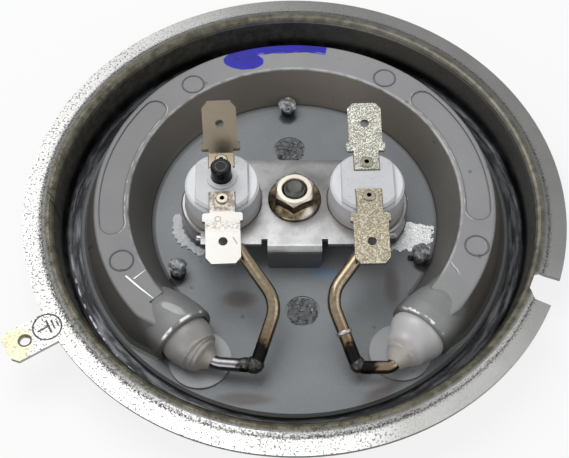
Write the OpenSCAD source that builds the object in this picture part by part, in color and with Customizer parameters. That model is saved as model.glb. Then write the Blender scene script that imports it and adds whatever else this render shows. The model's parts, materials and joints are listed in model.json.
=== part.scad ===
// Cast-in heater plate of a dishwasher, millimetres, +Z up.
// The origin is the centre of the flat wetted bottom. The front, where the two ends of
// the heating tube come out, faces -Y.

/* [Pan] */
// Inside radius of the pan at its floor
pan_inside_r = 44.4; // [43.4:0.1:44.6]
// Distance from there out to the bead's crest
bead_out = 2.2; // [1.9:0.1:2.4]
// Distance from the bead's crest out to the crease
bead_to_crease = 1.2; // [0.8:0.1:1.6]
// Width of the flat flange outside the crease
flange_w = 3.2; // [3:0.1:6]
// Height of the flange's upper face above the wetted bottom
pan_height = 8.4; // [7.5:0.1:10]
// Thickness of the stainless sheet
pan_sheet = 0.8; // [0.6:0.1:1]
// Rise of the bead's crest above the flange
bead_rise = 0.7; // [0.3:0.1:1]
// Inside radius of the corner between floor and wall
pan_corner_r = 1.2; // [0.6:0.1:2]

/* [Earth tab and notch] */
// Width of the earth tab, a standard push-on size
tab_w = 6.3; // [4.8:0.1:7]
// Length of the tab outside the flange
tab_length = 8.4; // [7:0.1:9]
// Direction of the tab seen from above, in degrees
tab_angle = 212; // [205:1:216]
// Distance of the tab's hole from its tip
tab_hole_inset = 3.5; // [2.5:0.1:4.5]
// Diameter of the tab's hole
tab_hole_d = 1.9; // [1.4:0.1:2.4]
// Chamfer on the tab's corners
tab_chamfer = 1.2; // [0.4:0.1:1.6]
// Direction of the notch's middle, in degrees
notch_angle = -23.3; // [-28:0.1:-18]
// Width of the notch, as an angle in degrees
notch_span = 6.6; // [4:0.2:8]
// Depth of the notch inside the crease
notch_depth = 1.4; // [0:0.1:1.6]

/* [Casting] */
// Width of the groove between the pan and the casting
casting_gap = 3.1; // [2.4:0.1:3.9]
// Thickness of the casting's floor on the pan
casting_floor = 1.3; // [1:0.1:1.8]
// Height of the ridge above the wetted bottom
ridge_height = 9.5; // [9.2:0.1:10.5]
// Width of the ridge's flat top
ridge_top_w = 6.3; // [6:0.1:7.5]
// Width of the ridge at its foot
ridge_foot_w = 13.2; // [12.6:0.1:13.4]
// Angle from the front at which the ridge ends, left then right, in degrees
ridge_open = [49, 51];
// Angle by which the ridge's outer side then turns in to the boss, left then right
ridge_turn = [20, 14];
// Radius of the rounded outer end of each boss
boss_r = 6; // [5.7:0.1:6.2]
// Length of each boss behind its mouth
boss_length = 9.5; // [8:0.1:11]
// Radius of the round pad under each seal
pad_r = 5.65; // [5:0.05:6]
// Rise of the pads above the casting's floor
pad_rise = 0.4; // [0.3:0.1:0.6]
// Diameter of the ejector marks on the ridge
ejector_d = 4.3; // [3:0.1:5]
// Depth of the ejector marks, gate marks and ridge panels
mark_depth = 0.2; // [0.1:0.05:0.4]
// Diameter of the gate marks in the floor
gate_d = 6.4; // [5:0.1:7]
// Diameter of the three stubs beside the ridge
stub_d = 2.2; // [2:0.1:3.2]
// Height of the stubs above the floor
stub_height = 2.2; // [2:0.1:4]

/* [Heating tube] */
// Distance of the tube's centre line inside the casting's edge
ring_inset = 6.85; // [6.8:0.05:7.3]
// Outside diameter of the tube
tube_d = 6.5; // [6:0.1:6.6]
// Height of the tube's centre line
tube_z = 4.9; // [4.7:0.05:5.1]
// Wall of the tube
tube_wall = 0.6; // [0.4:0.05:0.8]
// Radius of the bend between the ring and each straight end
tube_bend_r = 12; // [10:0.5:16]
// Turns of the resistance wire
coil_turns = 48; // [30:1:60]
// Width of the resistance wire
coil_wire = 0.5; // [0.3:0.05:0.6]
// Diameter of the cold pins
pin_d = 2.4; // [2:0.1:2.6]
// Length of each cold pin behind the tube's mouth
pin_inside = 12; // [10:0.5:12.5]
// Angle from the front at which each straight end leaves the ring, left then right
mouth_turn = [50, 52];
// Distance of each straight end inside the ring's own line, left then right
mouth_inset = [1.81, 0.7];
// Length of each straight end past the line square to it through the centre
mouth_past = [8.25, 7.14];

/* [Silicone seals] */
// Largest radius of the dome
seal_r = 5.4; // [4.8:0.05:5.5]
// Length from the tube's mouth to the dome's neck, left then right
seal_length = [6.6, 5.9];
// Radius of the lip at the neck
seal_neck_r = 2.9; // [2.5:0.1:3.5]
// Radius of the nipple that grips the pin
seal_nipple_r = 2.1; // [1.8:0.05:2.4]
// Length of the nipple beyond the neck
seal_nipple = 1.3; // [0.8:0.1:2]

/* [Stud, nut and bracket] */
// Thread size of the stud
stud_d = 4; // [3.5:0.5:5]
// Height of the stud's end above the wetted bottom
stud_top = 12.8; // [12.4:0.1:14]
// Diameter of the nut's flange
nut_flange_d = 10; // [9.5:0.1:11]
// Width across the nut's flats
nut_af = 7; // [6.5:0.1:8]
// Height of the nut
nut_height = 3.7; // [3.4:0.1:3.9]
// Running clearance of nut and bracket round the stud
stud_clear = 0.05; // [0.02:0.01:0.15]
// Thickness of the bracket's sheet
bracket_sheet = 0.8; // [0.6:0.1:1]
// Distance of the bracket's front edge from the middle
bracket_front = 9.9; // [9.4:0.1:10.5]
// Distance of the bracket's rear edge from the middle
bracket_rear = 9.2; // [8.8:0.1:9.8]
// Half of the bracket's length
bracket_half = 17.4; // [16.8:0.1:18]
// Width of the folded front leg
leg_w = 10.1; // [8:0.1:11]
// Gap between the bracket's forks and the ceramic
fork_gap = 0.2; // [0.1:0.05:0.4]

/* [Cut-outs] */
// Distance of each cut-out's centre from the middle
cutout_x = 13.45; // [13.3:0.05:13.7]
// Outside radius of the metal cap
cap_r = 8; // [7.8:0.05:8.2]
// Thickness of the cap's sheet
cap_sheet = 0.4; // [0.3:0.05:0.5]
// Width of the step between the cap's skirt and its narrower base
cap_step_w = 0.7; // [0.6:0.05:0.9]
// Radius of the snap disc
disc_r = 6.6; // [6:0.05:6.7]
// Thickness of the snap disc
disc_t = 0.2; // [0.15:0.05:0.25]
// Dish of the snap disc
disc_dish = 0.35; // [0.25:0.05:0.45]
// Radius of the ceramic body at its lower end
ceramic_r = 7.2; // [7:0.05:7.25]
// Radius of the ceramic body at its top
ceramic_top_r = 6.8; // [6.5:0.05:7]
// Height of the ceramic's outer shoulders above the wetted bottom
ceramic_shoulder_z = 14; // [13.8:0.1:14.2]
// Height of the ceramic's raised band above the wetted bottom
ceramic_band_z = 14.9; // [14.6:0.1:15.2]
// Width of the raised band
ceramic_band_w = 9.6; // [9:0.1:10.5]
// Diameter of the transfer pin
transfer_d = 2; // [1.6:0.1:2.2]
// Free travel of the transfer pin
transfer_travel = 0.3; // [0.2:0.05:0.4]
// Turn of each cut-out about its own axis, left then right
cutout_turn = [2.6, 1.1];

/* [Terminals] */
// Width of the blades, a standard push-on size
blade_w = 6.3; // [4.8:0.1:6.6]
// Thickness of the blades
blade_t = 0.8; // [0.5:0.1:0.8]
// Length of the blade beyond its shoulders
blade_length = 8.3; // [7.6:0.1:9]
// Width across the shoulders
shoulder_w = 7.3; // [6.8:0.1:7.6]
// Length of the shoulders
shoulder_length = 1.7; // [1:0.1:2]
// Width of the neck under the rivet
neck_w = 4.6; // [4:0.1:4.8]
// Distance of the blade's hole from its tip
blade_hole_inset = 4.3; // [3.5:0.1:4.5]
// Diameter of the blade's hole
blade_hole_d = 1.65; // [1.4:0.05:1.9]
// Chamfer on the blade's corners
blade_chamfer = 1; // [0.6:0.1:1.4]
// Upward angle of the rear blades, left then right
rear_rise = [60, 11];
// Distance from the rear blades' bend to their shoulders, left then right
rear_neck = [0, 1.15];
// Downward angle of the front blades
front_drop = 8; // [4:1:12]
// Distance of each rivet from the cut-out's centre
rivet_y = 3.75; // [3.7:0.05:4]
// Outside diameter of the rivet's rolled head
rivet_d = 2.4; // [2.2:0.1:2.6]

/* [Reset button] */
// Diameter of the button
button_d = 3.8; // [3.4:0.1:4]
// Height of the button's top above the wetted bottom
button_top = 18.6; // [17.8:0.1:19.4]
// Travel of the button when it is pressed
button_travel = 0.8; // [0.5:0.1:1]
// Running clearance of the button and of the transfer pins
slide_gap = 0.08; // [0.05:0.01:0.1]
// Distance of the button's axis behind the cut-out's centre
button_y = 0.6; // [0.3:0.1:0.8]

/* [Hidden] */

LEFT = 0;
RIGHT = 1;
big = 200;
cut = 1;
$fn = 64;

// Pan
bead_r = pan_inside_r + bead_out;
crease_r = bead_r + bead_to_crease;
flange_r = crease_r + flange_w;
tab_reach = flange_r + tab_length;
tab_overlap = 1.5;
tab_root_r = flange_r - tab_overlap;
flat_step = 1;
notch_r = crease_r - notch_depth;

// Casting, from the tube's ring
casting_r = pan_inside_r - casting_gap;
tube_ring_r = casting_r - ring_inset;
floor_z = pan_sheet + casting_floor;
ridge_top_in = tube_ring_r - ridge_top_w / 2;
ridge_top_out = tube_ring_r + ridge_top_w / 2;
ridge_foot_in = tube_ring_r - ridge_foot_w / 2;
ridge_foot_out = min(tube_ring_r + ridge_foot_w / 2, casting_r - 0.3);
foot_fillet = 1.2;
ridge_edge_r = 0.6;
end_gap = 0.6;
embed = 0.6;
ridge_base = pan_sheet + embed;
pad_ahead = 4.1;
pad_out = [0, -1];
pad_z = floor_z + pad_rise;
panel_angles = [[143, 190], [-5, 42]];
panel_margin = 0.9;
panel_round = 30;
gate_spots = [[-0.85, 16.2], [1.4, -20.5]];

// Places on or beside the ridge: angle, then distance outside the tube's ring
ejector_places = [[126.4, -0.4], [57.7, -0.25], [-18.3, 0.6], [204, 0]];
stub_places = [[92.4, -8.33], [209.8, -9.1], [-22.3, -9]];
function ring_spot(p) = (tube_ring_r + p[1]) * [cos(p[0]), sin(p[0])];
stud_boss_r = stud_d;
stud_boss_z = floor_z + 2.4;
stud_head_r = stud_d * 0.8;
stud_head_t = 1;
stud_root_z = pan_sheet + 0.3;

// Tube path, one half for each side, worked out from the mouth's place
tube_r = tube_d / 2;
tube_bore_r = tube_r - tube_wall;
pin_r = pin_d / 2;
function out_dir(i) = [sin(mouth_turn[i]), -cos(mouth_turn[i])];
function leg_dir(i) = [-cos(mouth_turn[i]), -sin(mouth_turn[i])];
function leg_offset(i) = tube_ring_r - mouth_inset[i];
function mouth(i) = out_dir(i) * leg_offset(i) + leg_dir(i) * mouth_past[i];
function bend_angle(i) =
    acos((leg_offset(i) - tube_bend_r) / (tube_ring_r - tube_bend_r));
function ring_start(i) = mouth_turn[i] + bend_angle(i);
function bend_centre(i) = (tube_ring_r - tube_bend_r)
    * [sin(ring_start(i)), -cos(ring_start(i))];
function leg_length(i) = mouth_past[i]
    + (tube_ring_r - tube_bend_r) * sin(bend_angle(i));
tube_setback = 1.5;
seal_plug_r = seal_r - 0.4;
seal_clear = 0.05;
lap_length = 0.1;
lap_step = 0.01;
ring_angle = 360 - ring_start(LEFT) - ring_start(RIGHT);

// Resistance wire, wound round the inner ends of the cold pins
coil_gap = 0.15;
coil_mean_r = pin_r + coil_wire / 2 + coil_gap;
coil_clear = 0.1;
coil_lap = 3;
coil_steps = 8;
coil_start = pin_inside - coil_lap;
coil_rings = coil_turns * coil_steps;

// Bracket and nut
bracket_top = pan_height;
bracket_under = bracket_top - bracket_sheet;
fork_r = ceramic_r + fork_gap;
nut_seat_z = bracket_top;
stud_bore_r = stud_d / 2 + stud_clear;
bracket_hole_r = stud_d / 2 + 0.15;

// Cut-outs, built up from the casting's floor
cap_z = floor_z;
cap_top = bracket_under;
lip_r = ceramic_r + 0.1;
cap_base_r = cap_r - cap_step_w;
cap_step_z = cap_z + 1.2;
cap_bore_r = cap_r - cap_sheet;
disc_z = cap_z + cap_sheet + 0.05;
disc_edge_z = disc_z + disc_dish + disc_t;
guide_r = cap_bore_r - 0.1;
guide_z = cap_step_z;
guide_top = guide_z + 1.6;
guide_recess = 0.4;
guide_rim_w = 0.6;
guide_slope_w = 0.3;
ceramic_z = guide_top;
ceramic_flange_z = cap_top - cap_sheet;
chamber_r = 6.1;
chamber_z = 11.4;
pocket_depth = 0.5;
pocket_z = ceramic_band_z - pocket_depth;
pocket_w = neck_w + 0.3;
terminal_top = pocket_z + blade_t;
terminal_lap = 1.6;
bend_gap = 1.2;
bend_inside_r = 0.4;
rivet_gap = 0.05;
shoulder_y = ceramic_top_r + 0.6;
front_bend_y = shoulder_y + shoulder_length + bend_gap;
rivet_shank_r = 0.8;
rivet_hole_r = 0.45;
rivet_head_t = 0.3;
contact_z = chamber_z - 0.8;
arm_t = 0.2;
arm_w = 3.2;
arm_contact_t = 0.4;
arm_contact_r = 1;
rivet_foot_r = 1.2;
arm_low_z = contact_z - arm_contact_t;
arm_high_z = chamber_z;
transfer_r = transfer_d / 2;
disc_gap = 0.03;
function disc_top_z(r) = disc_z + disc_t + disc_dish * pow(r / disc_r, 2);
transfer_top = arm_low_z - arm_t - transfer_travel - 0.02;
stem_r = 0.8;
sleeve_r = 1.45;
button_r = button_d / 2;
button_bore_z = chamber_z + 1;
button_skirt_z = button_bore_z + button_travel + 0.2;
collar_r = button_r + 0.9;
collar_z = ceramic_band_z + 0.5;
stem_end_z = disc_top_z(button_y + stem_r) + button_travel + 0.1;

// Cold pins, as corner points beyond the mouth, left then right
pin_bend_r = 2;
pin_knee_r = 6;
pin_low_z = tube_z + 0.3;
knee_rise = 5.3;
pin_knee_z = tube_z + knee_rise;
pin_end_gap = 0.1;
pin_ahead = [[-12.7, -5.9], [-11.3, -7]];
function pin_end_z(y) =
    pocket_z - (abs(y) - front_bend_y) * tan(front_drop) - pin_r - pin_end_gap;
pin_knees = [[-3.2, -23.2, pin_knee_z], [6.1, -21.8, pin_knee_z]];
pin_ends = [[-10.3, -13.2, pin_end_z(-13.2)], [11.4, -14.9, pin_end_z(-14.9)]];

// Points along an arc in a plane
function arc(centre, r, a0, a1, n) =
    [for (i = [0:n]) centre + r * [cos(a0 + (a1 - a0) * i / n), sin(a0 + (a1 - a0) * i / n)]];

function unit(v) = v / norm(v);

// Across-direction of a path at point i, for a strip's two faces
function side(p, i) =
    let (a = unit(p[min(i + 1, len(p) - 1)] - p[max(i - 1, 0)])) [-a[1], a[0]];

// Outline of a strip of thickness t whose middle follows the points p
function strip(p, t) = concat(
    [for (i = [0:len(p) - 1]) p[i] + side(p, i) * t / 2],
    [for (i = [len(p) - 1:-1:0]) p[i] - side(p, i) * t / 2]);

// Moves children from the ring's frame to one tube end: +Z runs out of the mouth
module at_mouth(i) {
    side_sign = i == LEFT ? -1 : 1;
    direction = i == LEFT ? mouth_turn[i] : 180 - mouth_turn[i];
    translate([side_sign * mouth(i)[0], mouth(i)[1], tube_z])
        rotate([0, 0, -direction])
            rotate([0, 90, 0])
                children();
}

// A round bar of radius r along the whole tube path. The two bends are a hair thinner and
// reach a little into their neighbours.
module tube_path(r, setback) {
    lap = lap_length / tube_bend_r * 180 / PI;
    translate([0, 0, tube_z])
        rotate([0, 0, -90 + ring_start(RIGHT)])
            rotate_extrude(angle = ring_angle) translate([tube_ring_r, 0]) circle(r);
    for (i = [LEFT, RIGHT]) {
        mirror([i == LEFT ? 1 : 0, 0, 0])
            translate([bend_centre(i)[0], bend_centre(i)[1], tube_z])
                rotate([0, 0, -90 + mouth_turn[i] - lap])
                    rotate_extrude(angle = bend_angle(i) + 2 * lap)
                        translate([tube_bend_r, 0]) circle(r - lap_step);
        at_mouth(i) translate([0, 0, -leg_length(i)])
            cylinder(r = r, h = leg_length(i) - setback);
    }
}

// Pan: one drawn sheet with a bead, a flat flange, an earth tab and a notch
function pan_middle() = concat(
    [[0, pan_sheet / 2], [pan_inside_r - pan_corner_r - flat_step, pan_sheet / 2]],
    arc([pan_inside_r - pan_corner_r, pan_sheet + pan_corner_r], pan_corner_r + pan_sheet / 2,
        -90, -5, 6),
    arc([bead_r - 0.2, pan_height + bead_rise - pan_sheet / 2 - 1], 1, 165, 60, 5),
    [[crease_r - 0.3, pan_height - pan_sheet / 2 + 0.12]],
    [[crease_r + 0.3, pan_height - pan_sheet / 2]],
    [[crease_r + 0.3 + flat_step / 2, pan_height - pan_sheet / 2]],
    [[flange_r, pan_height - pan_sheet / 2]]);

module pan_outline() {
    polygon(strip(pan_middle(), pan_sheet));
}

module earth_tab() {
    rotate([0, 0, tab_angle]) translate([0, 0, pan_height - pan_sheet])
        linear_extrude(pan_sheet) difference() {
            polygon([[tab_root_r, -tab_w / 2], [tab_reach - tab_chamfer, -tab_w / 2],
                     [tab_reach, -tab_w / 2 + tab_chamfer * 0.7],
                     [tab_reach, tab_w / 2 - tab_chamfer],
                     [tab_reach - tab_chamfer * 0.8, tab_w / 2], [tab_root_r, tab_w / 2]]);
            translate([tab_reach - tab_hole_inset, 0]) circle(d = tab_hole_d);
        }
}

module notch_cut() {
    outer = flange_r + cut;
    a0 = notch_angle - notch_span / 2;
    a1 = notch_angle + notch_span / 2;
    translate([0, 0, pan_height - 3]) linear_extrude(6) polygon(concat(
        [outer * [cos(a0), sin(a0)]],
        [(notch_r + 1.6) * [cos(a0), sin(a0)]],
        [notch_r * [cos(a0 + 1.6), sin(a0 + 1.6)]],
        [notch_r * [cos(a1 - 1), sin(a1 - 1)]],
        [(notch_r + 0.8) * [cos(a1), sin(a1)]],
        [outer * [cos(a1), sin(a1)]]));
}

module flanged_pan() {
    color("silver") difference() {
        union() {
            rotate_extrude($fn = 160) pan_outline();
            earth_tab();
        }
        notch_cut();
    }
}

// Casting: a floor with a horseshoe ridge over the tube, two end bosses and their pads
function ridge_outer() = concat(
    arc([ridge_top_out - ridge_edge_r * 0.6, ridge_height - ridge_edge_r], ridge_edge_r,
        90, 25, 3),
    [[ridge_foot_out - foot_fillet, floor_z + foot_fillet]],
    [[ridge_foot_out - foot_fillet / 2, floor_z + 0.3]],
    [[ridge_foot_out, floor_z - 0.05]]);

module ridge_outline() {
    polygon(concat(
        [[ridge_foot_in - foot_fillet, ridge_base]],
        [[ridge_foot_in - foot_fillet, floor_z - 0.05]],
        [[ridge_foot_in - foot_fillet / 3, floor_z + 0.25]],
        [[ridge_foot_in + 0.1, floor_z + foot_fillet]],
        arc([ridge_top_in + ridge_edge_r * 0.6, ridge_height - ridge_edge_r], ridge_edge_r,
            155, 90, 3),
        ridge_outer(),
        [[ridge_foot_out, ridge_base]]));
}

// Outer half of the ridge's outline, from its middle line, thinner by the amount given
module ridge_half(less) {
    polygon(concat(
        [[0, ridge_base + less], [0, ridge_height - less]],
        [for (p = ridge_outer()) p - [tube_ring_r + less, less]],
        [[ridge_foot_out - tube_ring_r - less, ridge_base + less]]));
}

// The ridge's outer half at one end: it turns in and runs straight into the boss
module ridge_end(i) {
    turned = ridge_open[i] - ridge_turn[i];
    middle = tube_ring_r * [sin(ridge_open[i]), -cos(ridge_open[i])];
    slant = mouth_turn[i] - turned;
    half_w = ridge_foot_out - tube_ring_r;
    reach = ((mouth(i) - middle) * leg_dir(i) - half_w * sin(slant) - end_gap) / cos(slant);
    lap = lap_length / half_w * 180 / PI;
    mirror([i == LEFT ? 1 : 0, 0, 0]) translate([middle[0], middle[1], 0]) {
        rotate([0, 0, turned - 90 - lap])
            rotate_extrude(angle = ridge_turn[i] + 2 * lap) ridge_half(lap_step);
        rotate([90, 0, turned - 90]) linear_extrude(reach) ridge_half(0);
    }
}

module casting_floor_plate() {
    translate([0, 0, pan_sheet]) rotate_extrude($fn = 160) polygon([
        [0, 0], [casting_r, 0], [casting_r, casting_floor * 0.6],
        [casting_r - 0.5, casting_floor], [0, casting_floor]]);
}

module boss(i) {
    at_mouth(i) rotate_extrude() polygon([
        [0, -boss_length], [boss_r * 0.62, -boss_length],
        [boss_r * 0.85, -boss_length * 0.66], [boss_r * 0.97, -boss_length * 0.3],
        [boss_r, -0.6], [boss_r - 0.15, -0.2], [boss_r - 0.5, 0], [0, 0]]);
}

// Round pocket in a boss's mouth for the seal's plug, above the casting's floor
module seal_pocket(i) {
    intersection() {
        at_mouth(i) translate([0, 0, -tube_setback])
            cylinder(r = seal_plug_r + seal_clear, h = tube_setback + cut);
        translate([0, 0, floor_z]) cylinder(r = casting_r, h = big);
    }
}

// Shallow sunk field on the ridge's top with round ends, between two angles
module ridge_panel(span) {
    a0 = span[0];
    a1 = span[1];
    half = ridge_top_w / 2 - panel_margin;
    end0 = tube_ring_r * [cos(a0), sin(a0)];
    end1 = tube_ring_r * [cos(a1), sin(a1)];
    translate([0, 0, ridge_height - mark_depth]) linear_extrude(cut) polygon(concat(
        arc([0, 0], tube_ring_r + half, a0, a1, 10),
        arc(end1, half, a1 + panel_round, a1 + 180 - panel_round, 4),
        arc([0, 0], tube_ring_r - half, a1, a0, 10),
        arc(end0, half, a0 + 180 + panel_round, a0 - panel_round + 360, 4)));
}

module heater_casting() {
    color("lightgrey") difference() {
        union() {
            casting_floor_plate();
            rotate([0, 0, -90 + ridge_open[RIGHT]])
                rotate_extrude(angle = 360 - ridge_open[LEFT] - ridge_open[RIGHT], $fn = 160)
                    ridge_outline();
            ridge_end(LEFT);
            ridge_end(RIGHT);
            intersection() {
                union() {
                    boss(LEFT);
                    boss(RIGHT);
                }
                translate([0, 0, pan_sheet + embed]) cylinder(r = casting_r, h = big);
            }
            for (i = [LEFT, RIGHT])
                translate([pad_spot(i)[0], pad_spot(i)[1], pan_sheet + embed])
                    cylinder(r = pad_r, h = pad_z - pan_sheet - embed);
            for (p = stub_places)
                translate([ring_spot(p)[0], ring_spot(p)[1], pan_sheet + embed])
                    cylinder(d = stub_d, h = floor_z + stub_height - pan_sheet - embed);
            translate([0, 0, pan_sheet + embed])
                cylinder(r = stud_boss_r, h = stud_boss_z - pan_sheet - embed);
        }
        tube_path(tube_r, -0.1);
        for (i = [LEFT, RIGHT]) seal_pocket(i);
        stud_shape(0);
        for (p = ejector_places)
            translate([ring_spot(p)[0], ring_spot(p)[1], ridge_height - mark_depth])
                cylinder(d = ejector_d, h = cut);
        for (p = gate_spots)
            translate([p[0], p[1], floor_z - mark_depth])
                cylinder(d = gate_d, h = mark_depth + lap_step);
        for (span = panel_angles) ridge_panel(span);
    }
}

// Heating tube: sheath, packed powder, resistance wire and the two cold pins
module element_sheath() {
    color("dimgray") difference() {
        tube_path(tube_r, tube_setback);
        tube_path(tube_bore_r, -cut);
    }
}

module insulation_fill() {
    liner_r = coil_mean_r + coil_wire / 2 + coil_clear;
    color("white") {
        difference() {
            tube_path(tube_bore_r, tube_setback);
            tube_path(liner_r, -cut);
        }
        tube_path(pin_r, pin_inside + coil_clear);
    }
}

// Place on the tube's centre line at distance s from the start of the right leg
function path_total() = leg_length(RIGHT) + bend_len(RIGHT) + ring_len() + bend_len(LEFT)
    + leg_length(LEFT);
function bend_len(i) = tube_bend_r * bend_angle(i) * PI / 180;
function ring_len() = tube_ring_r * ring_angle * PI / 180;
function half_path(i, s) =
    let (bend_a = (s - leg_length(i)) / tube_bend_r * 180 / PI,
         ring_a = (s - leg_length(i) - bend_len(i)) / tube_ring_r * 180 / PI,
         a = ring_start(i) + ring_a)
    s < leg_length(i)
        ? [mouth(i) - leg_dir(i) * s, -leg_dir(i), out_dir(i)]
        : s < leg_length(i) + bend_len(i)
            ? let (b = mouth_turn[i] + bend_a)
              [bend_centre(i) + tube_bend_r * [sin(b), -cos(b)], [cos(b), sin(b)],
               [sin(b), -cos(b)]]
            : [tube_ring_r * [sin(a), -cos(a)], [cos(a), sin(a)], [sin(a), -cos(a)]];
function path_at(s) =
    s < path_total() / 2
        ? half_path(RIGHT, s)
        : let (m = half_path(LEFT, path_total() - s))
          [[-m[0][0], m[0][1]], [m[1][0], -m[1][1]], [-m[2][0], m[2][1]]];

function coil_section(k) =
    let (s = coil_start + (path_total() - 2 * coil_start) * k / coil_rings,
         p = path_at(s),
         a = 360 * k / coil_steps,
         radial = [p[2][0] * cos(a), p[2][1] * cos(a), sin(a)],
         forward = [p[1][0], p[1][1], 0],
         centre = [p[0][0], p[0][1], tube_z] + coil_mean_r * radial)
    [for (q = [[-1, -1], [1, -1], [1, 1], [-1, 1]])
        centre + coil_wire / 2 * (q[0] * radial + q[1] * forward)];

module heating_coil() {
    rings = [for (k = [0:coil_rings]) coil_section(k)];
    points = [for (r = rings) each r];
    last = 4 * coil_rings;
    walls = [for (k = [0:coil_rings - 1]) for (j = [0:3])
        let (a = 4 * k + j, b = 4 * k + (j + 1) % 4)
        each [[a, b, b + 4], [a, b + 4, a + 4]]];
    ends = [[3, 2, 1], [3, 1, 0], [last, last + 1, last + 2], [last, last + 2, last + 3]];
    color("darkgoldenrod") polyhedron(points, concat(walls, ends));
}

// Turns children so that +Z points along v, from the point p
module along(p, v) {
    translate(p)
        rotate([0, acos(unit(v)[2]), atan2(v[1], v[0])])
            children();
}

// An elbow between directions u and v that starts at point p
module elbow(p, u, v, bend_r, r) {
    turn = acos(max(-1, min(1, u * v)));
    lap = lap_length / bend_r * 180 / PI;
    inward = unit(v - u * (u * v));
    normal = cross(u, inward);
    centre = p + inward * bend_r;
    m = [[-inward[0], u[0], normal[0], centre[0]],
         [-inward[1], u[1], normal[1], centre[1]],
         [-inward[2], u[2], normal[2], centre[2]],
         [0, 0, 0, 1]];
    multmatrix(m) rotate([0, 0, -lap]) rotate_extrude(angle = turn + 2 * lap)
        translate([bend_r, 0]) circle(r - lap_step);
}

// A round wire through corner points, with an elbow at every inner corner
module bent_wire(p, r, bend_r) {
    n = len(p) - 1;
    dirs = [for (i = [0:n - 1]) unit(p[i + 1] - p[i])];
    trims = [for (i = [0:n]) i == 0 || i == n ? 0
        : bend_r[i] * tan(acos(dirs[i - 1] * dirs[i]) / 2)];
    for (i = [0:n - 1])
        along(p[i] + dirs[i] * trims[i], dirs[i])
            cylinder(r = r, h = norm(p[i + 1] - p[i]) - trims[i] - trims[i + 1]);
    for (i = [1:n - 1])
        elbow(p[i] - dirs[i - 1] * trims[i], dirs[i - 1], dirs[i], bend_r[i], r);
}

function mouth_point(i, ahead) =
    let (s = i == LEFT ? -1 : 1, q = mouth(i) + leg_dir(i) * ahead) [s * q[0], q[1], tube_z];
function pad_spot(i) =
    let (s = i == LEFT ? -1 : 1, q = mouth(i) + leg_dir(i) * pad_ahead + out_dir(i) * pad_out[i])
    [s * q[0], q[1]];

module cold_pin(i) {
    side_sign = i == LEFT ? -1 : 1;
    low = mouth(i) + pin_ahead[i];
    points = [
        mouth_point(i, -pin_inside),
        mouth_point(i, seal_length[i] + seal_nipple + pin_bend_r * 0.75),
        [side_sign * low[0], low[1], pin_low_z],
        pin_knees[i],
        pin_ends[i]];
    color("silver") bent_wire(points, pin_r, [0, pin_bend_r, pin_bend_r, pin_knee_r]);
}

// Silicone seal: a dome in the boss's mouth with a lip and a nipple round the pin
module end_seal(i) {
    l = seal_length[i];
    color("white") difference() {
        at_mouth(i) rotate_extrude() polygon(concat(
            [[pin_r, -tube_setback], [seal_plug_r, -tube_setback], [seal_plug_r, 0]],
            [[seal_r, 0.02], [seal_r, l * 0.18]],
            arc([seal_neck_r - 0.4, l * 0.18], seal_r - seal_neck_r + 0.4, 12, 48, 4),
            [[seal_neck_r + 0.75, l * 0.72], [seal_neck_r + 0.3, l * 0.86]],
            [[seal_neck_r + 0.25, l - 0.35], [seal_neck_r, l - 0.05], [seal_neck_r - 0.3, l]],
            [[seal_nipple_r + 0.1, l - 0.15], [seal_nipple_r, l + 0.3]],
            [[seal_nipple_r - 0.25, l + seal_nipple], [pin_r, l + seal_nipple]]));
        translate([0, 0, -big + floor_z]) cylinder(r = big / 2, h = big);
        translate([pad_spot(i)[0], pad_spot(i)[1], 0]) cylinder(r = pad_r, h = pad_z);
    }
}

// Stud, nut and bracket
module stud_shape(chamfer) {
    translate([0, 0, stud_root_z]) cylinder(r = stud_head_r, h = stud_head_t);
    translate([0, 0, stud_root_z]) rotate_extrude() polygon([
        [0, 0], [stud_d / 2, 0], [stud_d / 2, stud_top - stud_root_z - chamfer],
        [stud_d / 2 - chamfer, stud_top - stud_root_z], [0, stud_top - stud_root_z]]);
}

module stud() {
    color("gray") stud_shape(0.55);
}

module flange_nut() {
    hex_r = nut_af / 2 / cos(30);
    washer_t = 1;
    color("darkkhaki") translate([0, 0, nut_seat_z]) difference() {
        union() {
            rotate_extrude() polygon([
                [0, 0], [nut_flange_d / 2 - 0.1, 0], [nut_flange_d / 2, 0.15],
                [nut_flange_d / 2, 0.45], [nut_flange_d / 2 - 0.3, 0.7],
                [nut_af / 2 - 0.1, washer_t + 0.5], [0, washer_t + 0.5]]);
            intersection() {
                translate([0, 0, 0.4]) rotate([0, 0, 27])
                    cylinder(r = hex_r, h = nut_height - 0.4, $fn = 6);
                rotate_extrude() polygon([
                    [0, 0], [hex_r + 1, 0], [hex_r + 1, nut_height - 0.9 - 0.35],
                    [nut_af / 2 - 0.3, nut_height], [0, nut_height]]);
            }
        }
        translate([0, 0, -cut]) cylinder(r = stud_bore_r, h = big);
        translate([0, 0, nut_height - 0.4])
            cylinder(r1 = stud_bore_r, r2 = stud_bore_r + 0.45, h = 0.45);
    }
}

module bracket_plan() {
    relief = 1.1;
    difference() {
        translate([-bracket_half, -bracket_front])
            square([2 * bracket_half, bracket_front + bracket_rear]);
        for (x = [-1, 1]) {
            translate([x * cutout_x, 0]) circle(fork_r);
            translate([x * cutout_x, 0]) translate([x > 0 ? 0 : -big, -fork_r * 0.94])
                square([big, 2 * fork_r * 0.94]);
            translate([x * (leg_w / 2 + relief / 2) - relief / 2, -bracket_front - cut])
                square([relief, cut + relief]);
        }
        circle(bracket_hole_r);
    }
}

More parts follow.
